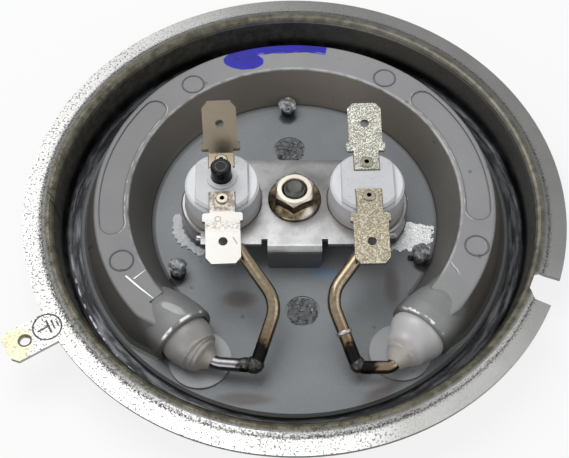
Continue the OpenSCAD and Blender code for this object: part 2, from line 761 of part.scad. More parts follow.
module clamp_bracket() {
    fold_r = 0.6;
    mid_r = fold_r + bracket_sheet / 2;
    fold = concat(
        [[-bracket_front + 1, bracket_top - bracket_sheet / 2]],
        arc([-bracket_front, bracket_under - fold_r], mid_r, 90, 180, 6),
        [[-bracket_front - mid_r, floor_z]]);
    color("gainsboro") {
        translate([0, 0, bracket_under]) linear_extrude(bracket_sheet) bracket_plan();
        intersection() {
            rotate([90, 0, 90]) translate([0, 0, -leg_w / 2])
                linear_extrude(leg_w) polygon(strip(fold, bracket_sheet));
            rotate([90, 0, 0]) linear_extrude(big) leg_front();
        }
    }
}

// Front view of the folded leg, with its two lower corners rounded
module leg_front() {
    corner = 1.3;
    polygon(concat(
        arc([-leg_w / 2 + corner, floor_z + corner], corner, 180, 270, 6),
        arc([leg_w / 2 - corner, floor_z + corner], corner, 270, 360, 6),
        [[leg_w / 2, big / 2], [-leg_w / 2, big / 2]]));
}

// Cut-outs: cap, snap disc, guide ring, ceramic body, contact arm, terminals and rivets
module at_cutout(i) {
    translate([i == LEFT ? -cutout_x : cutout_x, 0, 0])
        rotate([0, 0, cutout_turn[i]])
            children();
}

module cutout_cap() {
    color("gainsboro") rotate_extrude($fn = 96) polygon([
        [0, cap_z], [cap_base_r - 0.4, cap_z], [cap_base_r, cap_z + 0.4],
        [cap_base_r, cap_step_z - cap_sheet], [cap_r - 0.3, cap_step_z - cap_sheet],
        [cap_r, cap_step_z - cap_sheet + 0.3],
        [cap_r, cap_top - 0.25], [cap_r - 0.25, cap_top], [lip_r, cap_top],
        [lip_r, cap_top - cap_sheet], [cap_bore_r, cap_top - cap_sheet],
        [cap_bore_r, cap_step_z], [cap_base_r - cap_sheet, cap_step_z],
        [cap_base_r - cap_sheet, cap_z + cap_sheet], [0, cap_z + cap_sheet]]);
}

module snap_disc() {
    rise = [for (k = [0:5]) [disc_r * k / 5, disc_dish * pow(k / 5, 2)]];
    color("goldenrod") translate([0, 0, disc_z]) rotate_extrude()
        polygon(concat(rise, [for (k = [5:-1:0]) rise[k] + [0, disc_t]]));
}

module guide_ring(bore_r, bore_y) {
    rim_r = cap_base_r - cap_sheet - 0.1;
    recess_r = disc_r - guide_rim_w - guide_slope_w;
    color("ivory") difference() {
        rotate_extrude() polygon([
            [0, guide_z + guide_recess], [recess_r, guide_z + guide_recess],
            [recess_r + guide_slope_w, disc_edge_z + disc_gap],
            [rim_r, disc_edge_z + disc_gap],
            [rim_r, guide_z], [guide_r, guide_z], [guide_r, guide_top], [0, guide_top]]);
        translate([0, bore_y, 0]) cylinder(r = bore_r, h = big);
    }
}

module ceramic_body(with_button) {
    half = ceramic_band_w / 2;
    color("white") difference() {
        union() {
            rotate_extrude($fn = 96) polygon([
                [0, ceramic_z], [guide_r, ceramic_z], [guide_r, ceramic_flange_z],
                [ceramic_r, ceramic_flange_z], [ceramic_r, pan_height + 0.2],
                [ceramic_top_r + 0.08, ceramic_shoulder_z - 0.5],
                [ceramic_top_r - 0.3, ceramic_shoulder_z], [0, ceramic_shoulder_z]]);
            intersection() {
                rotate_extrude($fn = 96) polygon([
                    [0, ceramic_shoulder_z - 1], [ceramic_top_r - 0.3, ceramic_shoulder_z - 1],
                    [ceramic_top_r - 0.35, ceramic_band_z - 0.5],
                    [ceramic_top_r - 0.8, ceramic_band_z], [0, ceramic_band_z]]);
                translate([-half, -big / 2, 0]) cube([2 * half, big, big]);
            }
            if (with_button)
                translate([0, button_y, ceramic_shoulder_z])
                    cylinder(r = collar_r, h = collar_z - ceramic_shoulder_z);
        }
        translate([0, 0, ceramic_z - cut])
            cylinder(r = chamber_r, h = chamber_z - ceramic_z + cut);
        for (s = [-1, 1]) {
            translate([-pocket_w / 2, s > 0 ? pocket_end(with_button) : -big / 2, pocket_z])
                cube([pocket_w, big / 2 - pocket_end(with_button), big]);
            translate([0, s * rivet_place(with_button), 0]) cylinder(r = rivet_shank_r, h = big);
        }
        if (with_button) {
            translate([0, button_y, chamber_z - cut]) cylinder(r = stem_r + slide_gap, h = big);
            translate([0, button_y, button_bore_z]) cylinder(r = button_r + slide_gap, h = big);
        }
    }
}

// The button needs the rivets of its own cut-out a little further apart
function rivet_place(with_button) = rivet_y + (with_button ? button_y : 0);
function pocket_end(with_button) = rivet_place(with_button) - terminal_lap - 0.1;

module contact_arm(with_button) {
    y0 = -rivet_place(with_button);
    y1 = rivet_place(with_button);
    high = arm_high_z - arm_t / 2;
    low = arm_low_z - arm_t / 2;
    path = [[y0 - rivet_foot_r, high], [y0 + rivet_foot_r, high],
            [-0.9, low], [y1 + rivet_foot_r, low]];
    color("peru") difference() {
        union() {
            rotate([90, 0, 90]) translate([0, 0, -arm_w / 2])
                linear_extrude(arm_w) polygon(strip(path, arm_t));
            translate([0, y1, arm_low_z - lap_step])
                cylinder(r = arm_contact_r, h = arm_contact_t + lap_step);
        }
        translate([0, y0, 0]) cylinder(r = rivet_shank_r, h = big);
        if (with_button) translate([0, button_y, 0]) cylinder(r = stem_r + 0.3, h = big);
    }
}

// A terminal blade: neck, shoulders and a chamfered push-on blade, flat, along +Y
module terminal_outline(neck) {
    s1 = neck + shoulder_length;
    s2 = s1 + blade_length;
    difference() {
        union() {
            translate([-neck_w / 2, 0]) square([neck_w, neck + 0.1]);
            polygon([[-shoulder_w / 2 + 0.3, neck], [shoulder_w / 2 - 0.3, neck],
                     [shoulder_w / 2, neck + 0.3], [shoulder_w / 2, s1], [blade_w / 2, s1 + 0.2],
                     [-blade_w / 2, s1 + 0.2], [-shoulder_w / 2, s1],
                     [-shoulder_w / 2, neck + 0.3]]);
            polygon([[-blade_w / 2, s1], [blade_w / 2, s1],
                     [blade_w / 2, s2 - blade_chamfer * 1.2],
                     [blade_w / 2 - blade_chamfer, s2], [-blade_w / 2 + blade_chamfer, s2],
                     [-blade_w / 2, s2 - blade_chamfer * 1.2]]);
        }
        translate([0, s2 - blade_hole_inset]) circle(d = blade_hole_d);
    }
}

// What is cut away round the blade's outline between the distances y0 and y1
module terminal_waste(neck, y0, y1) {
    translate([0, 0, -big / 2]) linear_extrude(big) difference() {
        translate([-shoulder_w, y0]) square([2 * shoulder_w, y1 - y0]);
        terminal_outline(neck);
    }
}

// The blade bent upward by rise degrees at the distance bend_at from its start
module bent_terminal(neck, bend_at, rise) {
    mid_r = bend_inside_r + blade_t / 2;
    hand = rise > 0 ? 1 : -1;
    turn = abs(rise);
    bend_end = [bend_at + mid_r * sin(turn), hand * mid_r * (1 - cos(turn))];
    rest = neck + shoulder_length + blade_length - bend_at + cut / 2;
    strip_w = shoulder_w + cut;
    path = concat(
        [[-cut / 2, 0]],
        [for (p = arc([0, 0], mid_r, -90, -90 + turn, ceil(turn / 10)))
            [bend_at + p[0], hand * (mid_r + p[1])]],
        [bend_end + rest * [cos(rise), sin(rise)]]);
    difference() {
        rotate([90, 0, 90]) translate([0, blade_t / 2, -strip_w / 2])
            linear_extrude(strip_w) polygon(strip(path, blade_t));
        terminal_waste(neck, -cut, bend_at);
        translate([0, bend_end[0], blade_t / 2 + bend_end[1]]) rotate([rise, 0, 0])
            translate([0, -bend_at, 0]) terminal_waste(neck, bend_at, big);
        bend_waste(neck, bend_at, bend_end, rise);
    }
}

// The sides of the bend itself, which is as wide as the outline is there
module bend_waste(neck, bend_at, bend_end, rise) {
    half = (bend_at <= neck ? neck_w : blade_w) / 2 + lap_step;
    length = bend_end[0] - bend_at;
    for (s = [-1, 1]) translate([s > 0 ? half : -half - big, 0, 0]) {
        translate([0, bend_at - lap_length, -big / 2]) cube([big, length + lap_length, big]);
        translate([0, bend_end[0], blade_t / 2 + bend_end[1]]) rotate([rise, 0, 0])
            translate([0, -length, -blade_t]) cube([big, length + lap_step, 2 * blade_t]);
    }
}

module terminal(place, with_button, end, neck, bend_at, rise) {
    start = place - terminal_lap;
    color("khaki") at_cutout(with_button ? LEFT : RIGHT) difference() {
        rotate([0, 0, end > 0 ? 0 : 180]) translate([0, start, pocket_z])
            bent_terminal(neck, bend_at, rise);
        translate([0, end * place, 0]) cylinder(r = rivet_shank_r, h = big);
    }
}

module front_terminal(with_button) {
    place = rivet_place(with_button);
    neck = shoulder_y - place + terminal_lap;
    bend_at = front_bend_y - place + terminal_lap;
    terminal(place, with_button, -1, neck, bend_at, -front_drop);
}

module rear_terminal(with_button) {
    i = with_button ? LEFT : RIGHT;
    bend_at = terminal_lap + rivet_d / 2 + rivet_gap;
    terminal(rivet_place(with_button), with_button, 1, bend_at + rear_neck[i], bend_at,
        rear_rise[i]);
}

// Two hollow rivets: the front one holds the arm, the rear one is the fixed contact
module rivets(with_button) {
    place = rivet_place(with_button);
    color("gold") for (s = [-1, 1]) translate([0, s * place, 0]) difference() {
        union() {
            translate([0, 0, contact_z])
                cylinder(r = rivet_shank_r, h = terminal_top - contact_z);
            translate([0, 0, terminal_top]) rotate_extrude() polygon([
                [0, 0], [rivet_d / 2, 0], [rivet_d / 2, rivet_head_t * 0.6],
                [rivet_d / 2 - 0.2, rivet_head_t], [0, rivet_head_t]]);
            translate([0, 0, contact_z])
                cylinder(r = rivet_foot_r, h = (s < 0 ? arm_high_z - arm_t : chamber_z)
                    - contact_z);
        }
        translate([0, 0, chamber_z]) cylinder(r = rivet_hole_r, h = big);
    }
}

// Ceramic pin between the snap disc and the contact arm, bored for the button's stem
module transfer_pin(r, bore, y) {
    z0 = disc_top_z(r + y) + disc_gap;
    color("white") translate([0, y, z0]) difference() {
        cylinder(r = r, h = transfer_top - z0);
        if (bore > 0) translate([0, 0, -cut]) cylinder(r = bore, h = big);
    }
}

module reset_button() {
    color("black") at_cutout(LEFT) translate([0, button_y, 0]) rotate_extrude() polygon([
        [0, stem_end_z], [stem_r, stem_end_z], [stem_r, button_skirt_z],
        [button_r, button_skirt_z], [button_r, button_top - 0.35],
        [button_r - 0.35, button_top], [button_r - 0.75, button_top],
        [button_r - 0.85, button_top - 0.12], [0, button_top - 0.12]]);
}

module reset_guide() {
    at_cutout(LEFT) guide_ring(sleeve_r + slide_gap, button_y);
}

module reset_sleeve() {
    at_cutout(LEFT) transfer_pin(sleeve_r, stem_r + slide_gap, button_y);
}

module auto_guide() {
    at_cutout(RIGHT) guide_ring(transfer_r + slide_gap, 0);
}

module auto_pin() {
    at_cutout(RIGHT) transfer_pin(transfer_r, 0, 0);
}

flanged_pan();
heater_casting();
element_sheath();
insulation_fill();
heating_coil();
cold_pin(LEFT);  // cold_pin_left
cold_pin(RIGHT);  // cold_pin_right
end_seal(LEFT);  // end_seal_left
end_seal(RIGHT);  // end_seal_right
stud();
flange_nut();
clamp_bracket();
at_cutout(LEFT) cutout_cap();  // reset_cutout_cap
at_cutout(LEFT) snap_disc();  // reset_cutout_disc
reset_guide();  // reset_cutout_guide
reset_sleeve();  // reset_cutout_sleeve
at_cutout(LEFT) ceramic_body(true);  // reset_cutout_body
at_cutout(LEFT) contact_arm(true);  // reset_cutout_arm
front_terminal(true);  // reset_front_terminal
rear_terminal(true);  // reset_rear_terminal
at_cutout(LEFT) rivets(true);  // reset_rivets
reset_button();
at_cutout(RIGHT) cutout_cap();  // auto_cutout_cap
at_cutout(RIGHT) snap_disc();  // auto_cutout_disc
auto_guide();  // auto_cutout_guide
auto_pin();  // auto_cutout_pin
at_cutout(RIGHT) ceramic_body(false);  // auto_cutout_body
at_cutout(RIGHT) contact_arm(false);  // auto_cutout_arm
front_terminal(false);  // auto_front_terminal
rear_terminal(false);  // auto_rear_terminal
at_cutout(RIGHT) rivets(false);  // auto_rivets
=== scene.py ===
# %% [markdown]
# # A cast-in heater plate
# This lesson dresses a heater plate from the bottom of a dishwasher. The rigid pieces come
# from the CAD frame at their true places, in metres, with +Z up and the front facing -Y.
# Blender adds what a drawing leaves out: threads, mould marks, weld beads, dried paste and
# the finishes of metal, ceramic and rubber.

# %% Load the frame
import json

import bmesh
import bpy
from math import atan2, cos, hypot, pi, radians, sin, tan
from mathutils import Matrix, Vector


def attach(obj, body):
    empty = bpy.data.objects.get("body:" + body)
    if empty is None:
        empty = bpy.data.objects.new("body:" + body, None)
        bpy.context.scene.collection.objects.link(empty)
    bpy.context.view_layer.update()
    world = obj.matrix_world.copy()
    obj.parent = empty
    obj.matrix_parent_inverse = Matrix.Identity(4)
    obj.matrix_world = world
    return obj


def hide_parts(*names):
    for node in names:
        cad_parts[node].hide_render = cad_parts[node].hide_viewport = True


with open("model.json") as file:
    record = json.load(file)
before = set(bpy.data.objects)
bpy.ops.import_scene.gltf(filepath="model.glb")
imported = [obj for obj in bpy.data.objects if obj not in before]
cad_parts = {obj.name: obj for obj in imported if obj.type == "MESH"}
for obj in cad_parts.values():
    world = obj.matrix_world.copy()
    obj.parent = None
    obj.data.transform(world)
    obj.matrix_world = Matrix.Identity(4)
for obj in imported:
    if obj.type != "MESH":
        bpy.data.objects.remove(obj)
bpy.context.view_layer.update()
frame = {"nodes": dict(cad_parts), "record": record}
MM = 0.001

# %% [markdown]
# ## Finishes in millimetres
# Every finish reads the object's own coordinates. All pieces sit at the origin, so these are
# places on the heater plate, and a stain or a scratch can be put where it belongs. A small
# class keeps the node trees short: each method adds one node and gives back its output.

# %% A small class for building finishes
class Finish:
    """A Principled material that is built up node by node, with coordinates in mm."""

    def __init__(self, name, metallic=0.0, coat=0.0, specular=0.5):
        self.material = bpy.data.materials.new(name)
        self.material.use_nodes = True
        self.tree = self.material.node_tree
        self.shader = self.tree.nodes["Principled BSDF"]
        self.shader.inputs["Metallic"].default_value = metallic
        self.shader.inputs["Coat Weight"].default_value = coat
        self.shader.inputs["Coat Roughness"].default_value = 0.2
        self.shader.inputs["Specular IOR Level"].default_value = specular
        place = self.add("TexCoord").outputs["Object"]
        self.mm = self.vector("SCALE", place, scale=1 / MM)
        parts = self.add("SeparateXYZ")
        self.feed(parts.inputs[0], self.mm)
        self.x, self.y, self.z = parts.outputs
        self.radius = self.math("SQRT", self.math("ADD", self.math("MULTIPLY", self.x, self.x),
                                                  self.math("MULTIPLY", self.y, self.y)))
        self.angle = self.math("MULTIPLY", self.math("ARCTAN2", self.y, self.x), 180 / pi)

    def add(self, kind, **settings):
        node = self.tree.nodes.new("ShaderNode" + kind)
        for key, value in settings.items():
            setattr(node, key, value)
        return node

    def feed(self, socket, value):
        if isinstance(value, bpy.types.NodeSocket):
            self.tree.links.new(value, socket)
        elif isinstance(value, tuple) and len(value) == 3 and socket.type == "RGBA":
            socket.default_value = (*value, 1.0)
        else:
            socket.default_value = value

    def math(self, operation, a, b=0.0, clamp=False):
        node = self.add("Math", operation=operation, use_clamp=clamp)
        self.feed(node.inputs[0], a)
        self.feed(node.inputs[1], b)
        return node.outputs[0]

    def vector(self, operation, a, b=(0.0, 0.0, 0.0), scale=1.0):
        node = self.add("VectorMath", operation=operation)
        self.feed(node.inputs[0], a)
        self.feed(node.inputs[1], b)
        if operation == "SCALE":
            node.inputs[3].default_value = scale
        return node.outputs[1 if operation == "LENGTH" else 0]

    def ramp(self, value, low, high):
        """0 below low, 1 above high, smooth in between; turned round where low is above high."""
        node = self.add("MapRange", interpolation_type="SMOOTHSTEP")
        self.feed(node.inputs["Value"], value)
        node.inputs["From Min"].default_value = low
        node.inputs["From Max"].default_value = high
        return node.outputs["Result"]

    def band(self, value, low, high, soft):
        """1 between low and high, with soft edges."""
        return self.math("MULTIPLY", self.ramp(value, low - soft, low + soft),
                         self.ramp(value, high + soft, high - soft))

    def mix(self, factor, a, b):
        node = self.add("Mix", data_type="RGBA")
        self.feed(node.inputs[0], factor)
        self.feed(node.inputs[6], a)
        self.feed(node.inputs[7], b)
        return node.outputs[2]

    def blend(self, factor, a, b):
        node = self.add("Mix", data_type="FLOAT")
        self.feed(node.inputs[0], factor)
        self.feed(node.inputs[2], a)
        self.feed(node.inputs[3], b)
        return node.outputs[0]

    def noise(self, size, detail=3.0, roughness=0.5, vector=None, stretch=(1.0, 1.0, 1.0)):
        """Cloudy noise whose blotches are about size mm wide."""
        node = self.add("TexNoise")
        place = self.vector("MULTIPLY", vector or self.mm, stretch)
        self.feed(node.inputs["Vector"], place)
        node.inputs["Scale"].default_value = 1 / size
        node.inputs["Detail"].default_value = detail
        node.inputs["Roughness"].default_value = roughness
        return node.outputs["Fac"]

    def specks(self, size, share, vector=None):
        """Small round specks: about share of the cells hold one."""
        node = self.add("TexVoronoi", feature="F1")
        self.feed(node.inputs["Vector"], vector or self.mm)
        node.inputs["Scale"].default_value = 1 / size
        keep = self.add("SeparateColor")
        self.feed(keep.inputs[0], node.outputs["Color"])
        near = self.ramp(node.outputs["Distance"], 0.32, 0.2)
        return self.math("MULTIPLY", near, self.math("LESS_THAN", keep.outputs[0], share))

    def joined(self, x, y=0.0, z=0.0):
        node = self.add("CombineXYZ")
        for socket, value in zip(node.inputs, (x, y, z)):
            self.feed(socket, value)
        return node.outputs[0]

    def spot(self, centre, size, turn=0.0, ragged=0.0, soft=0.15):
        """1 inside an ellipse of half-widths size round centre, seen from above, in mm."""
        node = self.add("Mapping", vector_type="TEXTURE")
        self.feed(node.inputs["Vector"], self.mm)
        node.inputs["Location"].default_value = (*centre, 0.0)
        node.inputs["Rotation"].default_value = (0.0, 0.0, radians(turn))
        node.inputs["Scale"].default_value = (*size, 1.0)
        flat = self.vector("MULTIPLY", node.outputs[0], (1.0, 1.0, 0.0))
        away = self.vector("LENGTH", flat)
        if ragged:
            jitter = self.math("SUBTRACT", self.noise(1.2, 4.0, 0.6), 0.5)
            away = self.math("ADD", away, self.math("MULTIPLY", jitter, 2 * ragged))
        return self.ramp(away, 1 + soft, 1 - soft)

    def stroke(self, a, b, width, soft=0.15):
        """1 on a straight line from a to b that is width wide, seen from above, in mm."""
        node = self.add("Mapping", vector_type="TEXTURE")
        self.feed(node.inputs["Vector"], self.mm)
        run, rise = b[0] - a[0], b[1] - a[1]
        node.inputs["Location"].default_value = ((a[0] + b[0]) / 2, (a[1] + b[1]) / 2, 0.0)
        node.inputs["Rotation"].default_value = (0.0, 0.0, atan2(rise, run))
        node.inputs["Scale"].default_value = (hypot(run, rise) / 2, width / 2, 1.0)
        parts = self.add("SeparateXYZ")
        self.feed(parts.inputs[0], node.outputs[0])
        along, across = (self.math("ABSOLUTE", parts.outputs[i]) for i in (0, 1))
        return self.ramp(self.math("MAXIMUM", along, across), 1 + soft, 1 - soft)

    def away(self, centre):
        """Distance in mm from an upright line through centre."""
        gap = self.vector("SUBTRACT", self.mm, (*centre, 0.0))
        return self.vector("LENGTH", self.vector("MULTIPLY", gap, (1.0, 1.0, 0.0)))

    def most(self, *masks):
        """The largest of several masks."""
        result = masks[0]
        for mask in masks[1:]:
            result = self.math("MAXIMUM", result, mask)
        return result

    def both(self, a, b):
        return self.math("MULTIPLY", a, b)

    def colour(self, value):
        self.feed(self.shader.inputs["Base Color"], value)

    def rough(self, value):
        self.feed(self.shader.inputs["Roughness"], value)

    def bump(self, height, depth, strength=1.0):
        """Relief from a height between 0 and 1, where 1 stands depth mm proud."""
        node = self.add("Bump")
        node.inputs["Strength"].default_value = strength
        node.inputs["Distance"].default_value = depth * MM
        self.feed(node.inputs["Height"], height)
        self.feed(self.shader.inputs["Normal"], node.outputs[0])

    def upward(self):
        """1 on faces that look up, 0 on walls."""
        parts = self.add("SeparateXYZ")
        self.feed(parts.inputs[0], self.add("NewGeometry").outputs["Normal"])
        return self.ramp(parts.outputs[2], 0.35, 0.9)

    def inward(self):
        """1 on faces that look to the axis or up, 0 on faces that look away from it."""
        parts = self.add("SeparateXYZ")
        self.feed(parts.inputs[0], self.add("NewGeometry").outputs["Normal"])
        along = self.math("ADD", self.math("MULTIPLY", parts.outputs[0], self.x),
                          self.math("MULTIPLY", parts.outputs[1], self.y))
        return self.ramp(self.math("DIVIDE", along, self.radius), 0.5, 0.3)


# %% [markdown]
# ## The stainless pan
# The pan is drawn from one stainless sheet. Its flange is satin and a little speckled next to
# the crease, its wall is polished and has an olive tint, and the floor round the casting is
# blue-black from the heat. One finish holds all of these, chosen by radius and height.

# %% Finish of the pan
EARTH_SIGN = (-43.78, -26.93)


def stainless_sheet():
    f = Finish("stainless_sheet", metallic=1.0)
    crease_r, bead_r = 47.8, 46.6
    mottle = f.noise(5.0, 4.0)
    grain = f.noise(0.35, 3.0, 0.6)
    satin = f.mix(mottle, (0.27, 0.27, 0.26), (0.35, 0.35, 0.34))
    satin = f.mix(f.both(f.ramp(grain, 0.42, 0.62), 0.25), satin, (0.42, 0.42, 0.42))
    # Painted shade: the flange grows darker towards the right and the rear.
    painted_shade = f.ramp(f.math("ADD", f.x, f.both(f.y, 0.8)), 0.0, 50.0)
    satin = f.mix(f.both(painted_shade, 0.55), satin, (0.07, 0.07, 0.07))
    # Painted highlight: the front left of the flange is made lighter.
    flange_highlight = f.both(f.ramp(f.y, -24.0, -46.0), f.ramp(f.x, 20.0, 8.0))
    satin = f.mix(f.both(flange_highlight, 0.65), satin, (0.62, 0.62, 0.61))
    yellow = f.spot((-51.5, -31.8), (6.2, 4.4), 32.0, 0.15, 0.25)
    satin = f.mix(f.both(yellow, 0.8), satin, f.mix(grain, (0.19, 0.18, 0.10), (0.38, 0.35, 0.22)))
    near_crease = f.band(f.radius, crease_r - 0.5, crease_r + 0.45, 0.5)
    front_left = f.ramp(f.math("ADD", f.x, f.both(f.y, 0.6)), 14.0, -14.0)
    spread = f.blend(front_left, 0.04, 0.0)
    dirt = f.both(near_crease, f.ramp(f.math("SUBTRACT", f.noise(0.3, 2.0, 0.6), spread), 0.47, 0.56))
    dots = f.math("ADD", f.noise(0.42, 2.0, 0.5), f.both(mottle, 0.14))
    specks = f.both(f.ramp(dots, 0.63, 0.67), f.both(f.blend(front_left, 0.35, 1.0),
                                                     f.ramp(f.x, 24.0, 10.0)))
    specks = f.both(specks, f.blend(yellow, 0.7, 0.25))
    dirt = f.both(f.both(f.most(dirt, specks), f.upward()), f.ramp(f.z, 7.0, 7.4))
    satin = f.mix(f.both(dirt, 0.95), satin, (0.025, 0.025, 0.025))
    patches = f.ramp(f.noise(1.7, 4.0, 0.6), 0.35, 0.65)
    olive = f.mix(patches, (0.12, 0.117, 0.10), (0.19, 0.185, 0.16))
    # Painted highlight: a lighter band on the right of the wall.
    olive = f.mix(f.both(f.band(f.angle, -15.0, 80.0, 18.0), 0.7), olive, (0.30, 0.295, 0.275))
    # Painted shade: the top of the wall, at the bead, is darkened.
    olive = f.mix(f.both(f.ramp(f.z, 7.9, 8.7), 0.8), olive, f.mix(patches, (0.032, 0.029, 0.021),
                                                                (0.076, 0.070, 0.050)))
    olive = f.mix(f.both(f.specks(0.5, 0.25), 0.6), olive, (0.025, 0.025, 0.022))
    wall = f.both(f.ramp(f.radius, bead_r + 1.1, bead_r - 0.1), f.ramp(f.z, 0.3, 0.6))
    wall = f.both(wall, f.inward())
    sheet = f.mix(wall, satin, olive)
    round_about = f.joined(f.radius, f.both(f.math("DIVIDE", f.x, f.radius), 5.0),
                           f.both(f.math("DIVIDE", f.y, f.radius), 5.0))
    streaks = f.noise(0.8, 4.0, 0.65, vector=round_about)
    grey = f.mix(f.noise(7.0, 3.0), (0.035, 0.037, 0.04), (0.12, 0.125, 0.13))
    tint = f.mix(f.ramp(streaks, 0.40, 0.66), (0.018, 0.018, 0.02), grey)
    # Painted highlights: bright arcs in the groove at the front left.
    lines = f.both(f.most(f.band(f.radius, 43.1, 43.35, 0.12), f.band(f.radius, 44.2, 44.5, 0.12)),
                   f.both(f.ramp(f.noise(1.6, 4.0), 0.42, 0.55), f.band(f.angle, -165, -95, 12)))
    tint = f.mix(f.both(lines, 0.8), tint, (0.36, 0.38, 0.42))
    groove = f.both(f.ramp(f.z, 4.6, 2.6), wall)
    sheet = f.mix(groove, sheet, tint)
    bottom = f.ramp(f.z, 0.4, 0.2)
    turned = f.noise(0.6, 3.0, vector=f.vector("SCALE", f.joined(f.radius), scale=1.0))
    scale = f.ramp(f.noise(6.0, 5.0, 0.65), 0.52, 0.66)
    below = f.mix(turned, (0.32, 0.32, 0.30), (0.50, 0.49, 0.47))
    below = f.mix(f.both(scale, 0.55), below, (0.53, 0.50, 0.45))
    sheet = f.mix(bottom, sheet, below)
    scratch = f.most(f.stroke((-46.7, 1.4), (-45.4, 0.0), 0.22), f.stroke((-46.1, -0.2),
                                                                          (-44.6, -2.2), 0.2))
    sign = f.most(
        f.band(f.away(EARTH_SIGN), 2.40, 2.64, 0.06), f.band(f.away((-47.4, -29.6)), 0.9, 1.2, 0.08),
        f.stroke((-45.3, -27.9), (-43.6, -26.8), 0.34), f.stroke((-44.1, -25.7), (-42.9, -28.0), 0.34),
        f.stroke((-43.2, -25.6), (-42.4, -27.2), 0.28), f.stroke((-42.3, -25.8), (-41.8, -26.6), 0.28))
    sign = f.both(sign, f.ramp(f.z, 8.2, 8.35))
    sheet = f.mix(f.most(scratch, f.both(sign, 0.9)), sheet, (0.02, 0.02, 0.02))
    crease = f.both(f.band(f.radius, crease_r - 0.1, crease_r + 0.1, 0.14), f.ramp(f.z, 7.0, 7.4))
    sheet = f.mix(f.both(f.both(crease, f.upward()), 0.6), sheet, (0.04, 0.04, 0.035))
    cut_edge = f.both(f.math("SUBTRACT", 1.0, f.inward()), f.ramp(f.radius, 49.5, 50.0))
    sheet = f.mix(f.both(cut_edge, 0.85), sheet, (0.05, 0.05, 0.045))
    f.colour(sheet)
    rough = f.blend(wall, f.blend(mottle, 0.32, 0.40), f.blend(mottle, 0.40, 0.52))
    f.rough(f.math("ADD", rough, f.both(f.most(dirt, f.both(bottom, scale)), 0.25)))
    relief = f.math("ADD", grain, f.both(streaks, groove))
    f.bump(f.math("SUBTRACT", relief, f.both(sign, 4.0)), 0.02)
    return f.material


# %% [markdown]
# ## The aluminium casting
# Die-cast aluminium is a flat grey with a fine grain and small pits. Its walls are darker than the
# faces that look up, which is painted shade. On the floor lie painted shadows, brown towards the
# front and black in front of the stubs, and painted highlights lie on the pads and edges. On it lie
# a blue paint mark at the rear of the ridge and a blue smudge. The paint is a mask made of an
# ellipse and an arc, so it runs down the ridge's wall.

# %% Finish of the casting
PANEL_R, PANEL_HALF = 34.45, 2.25
EJECTORS = ((-20.2, 27.2), (18.3, 28.7), (33.3, -11.0), (-31.5, -14.0))


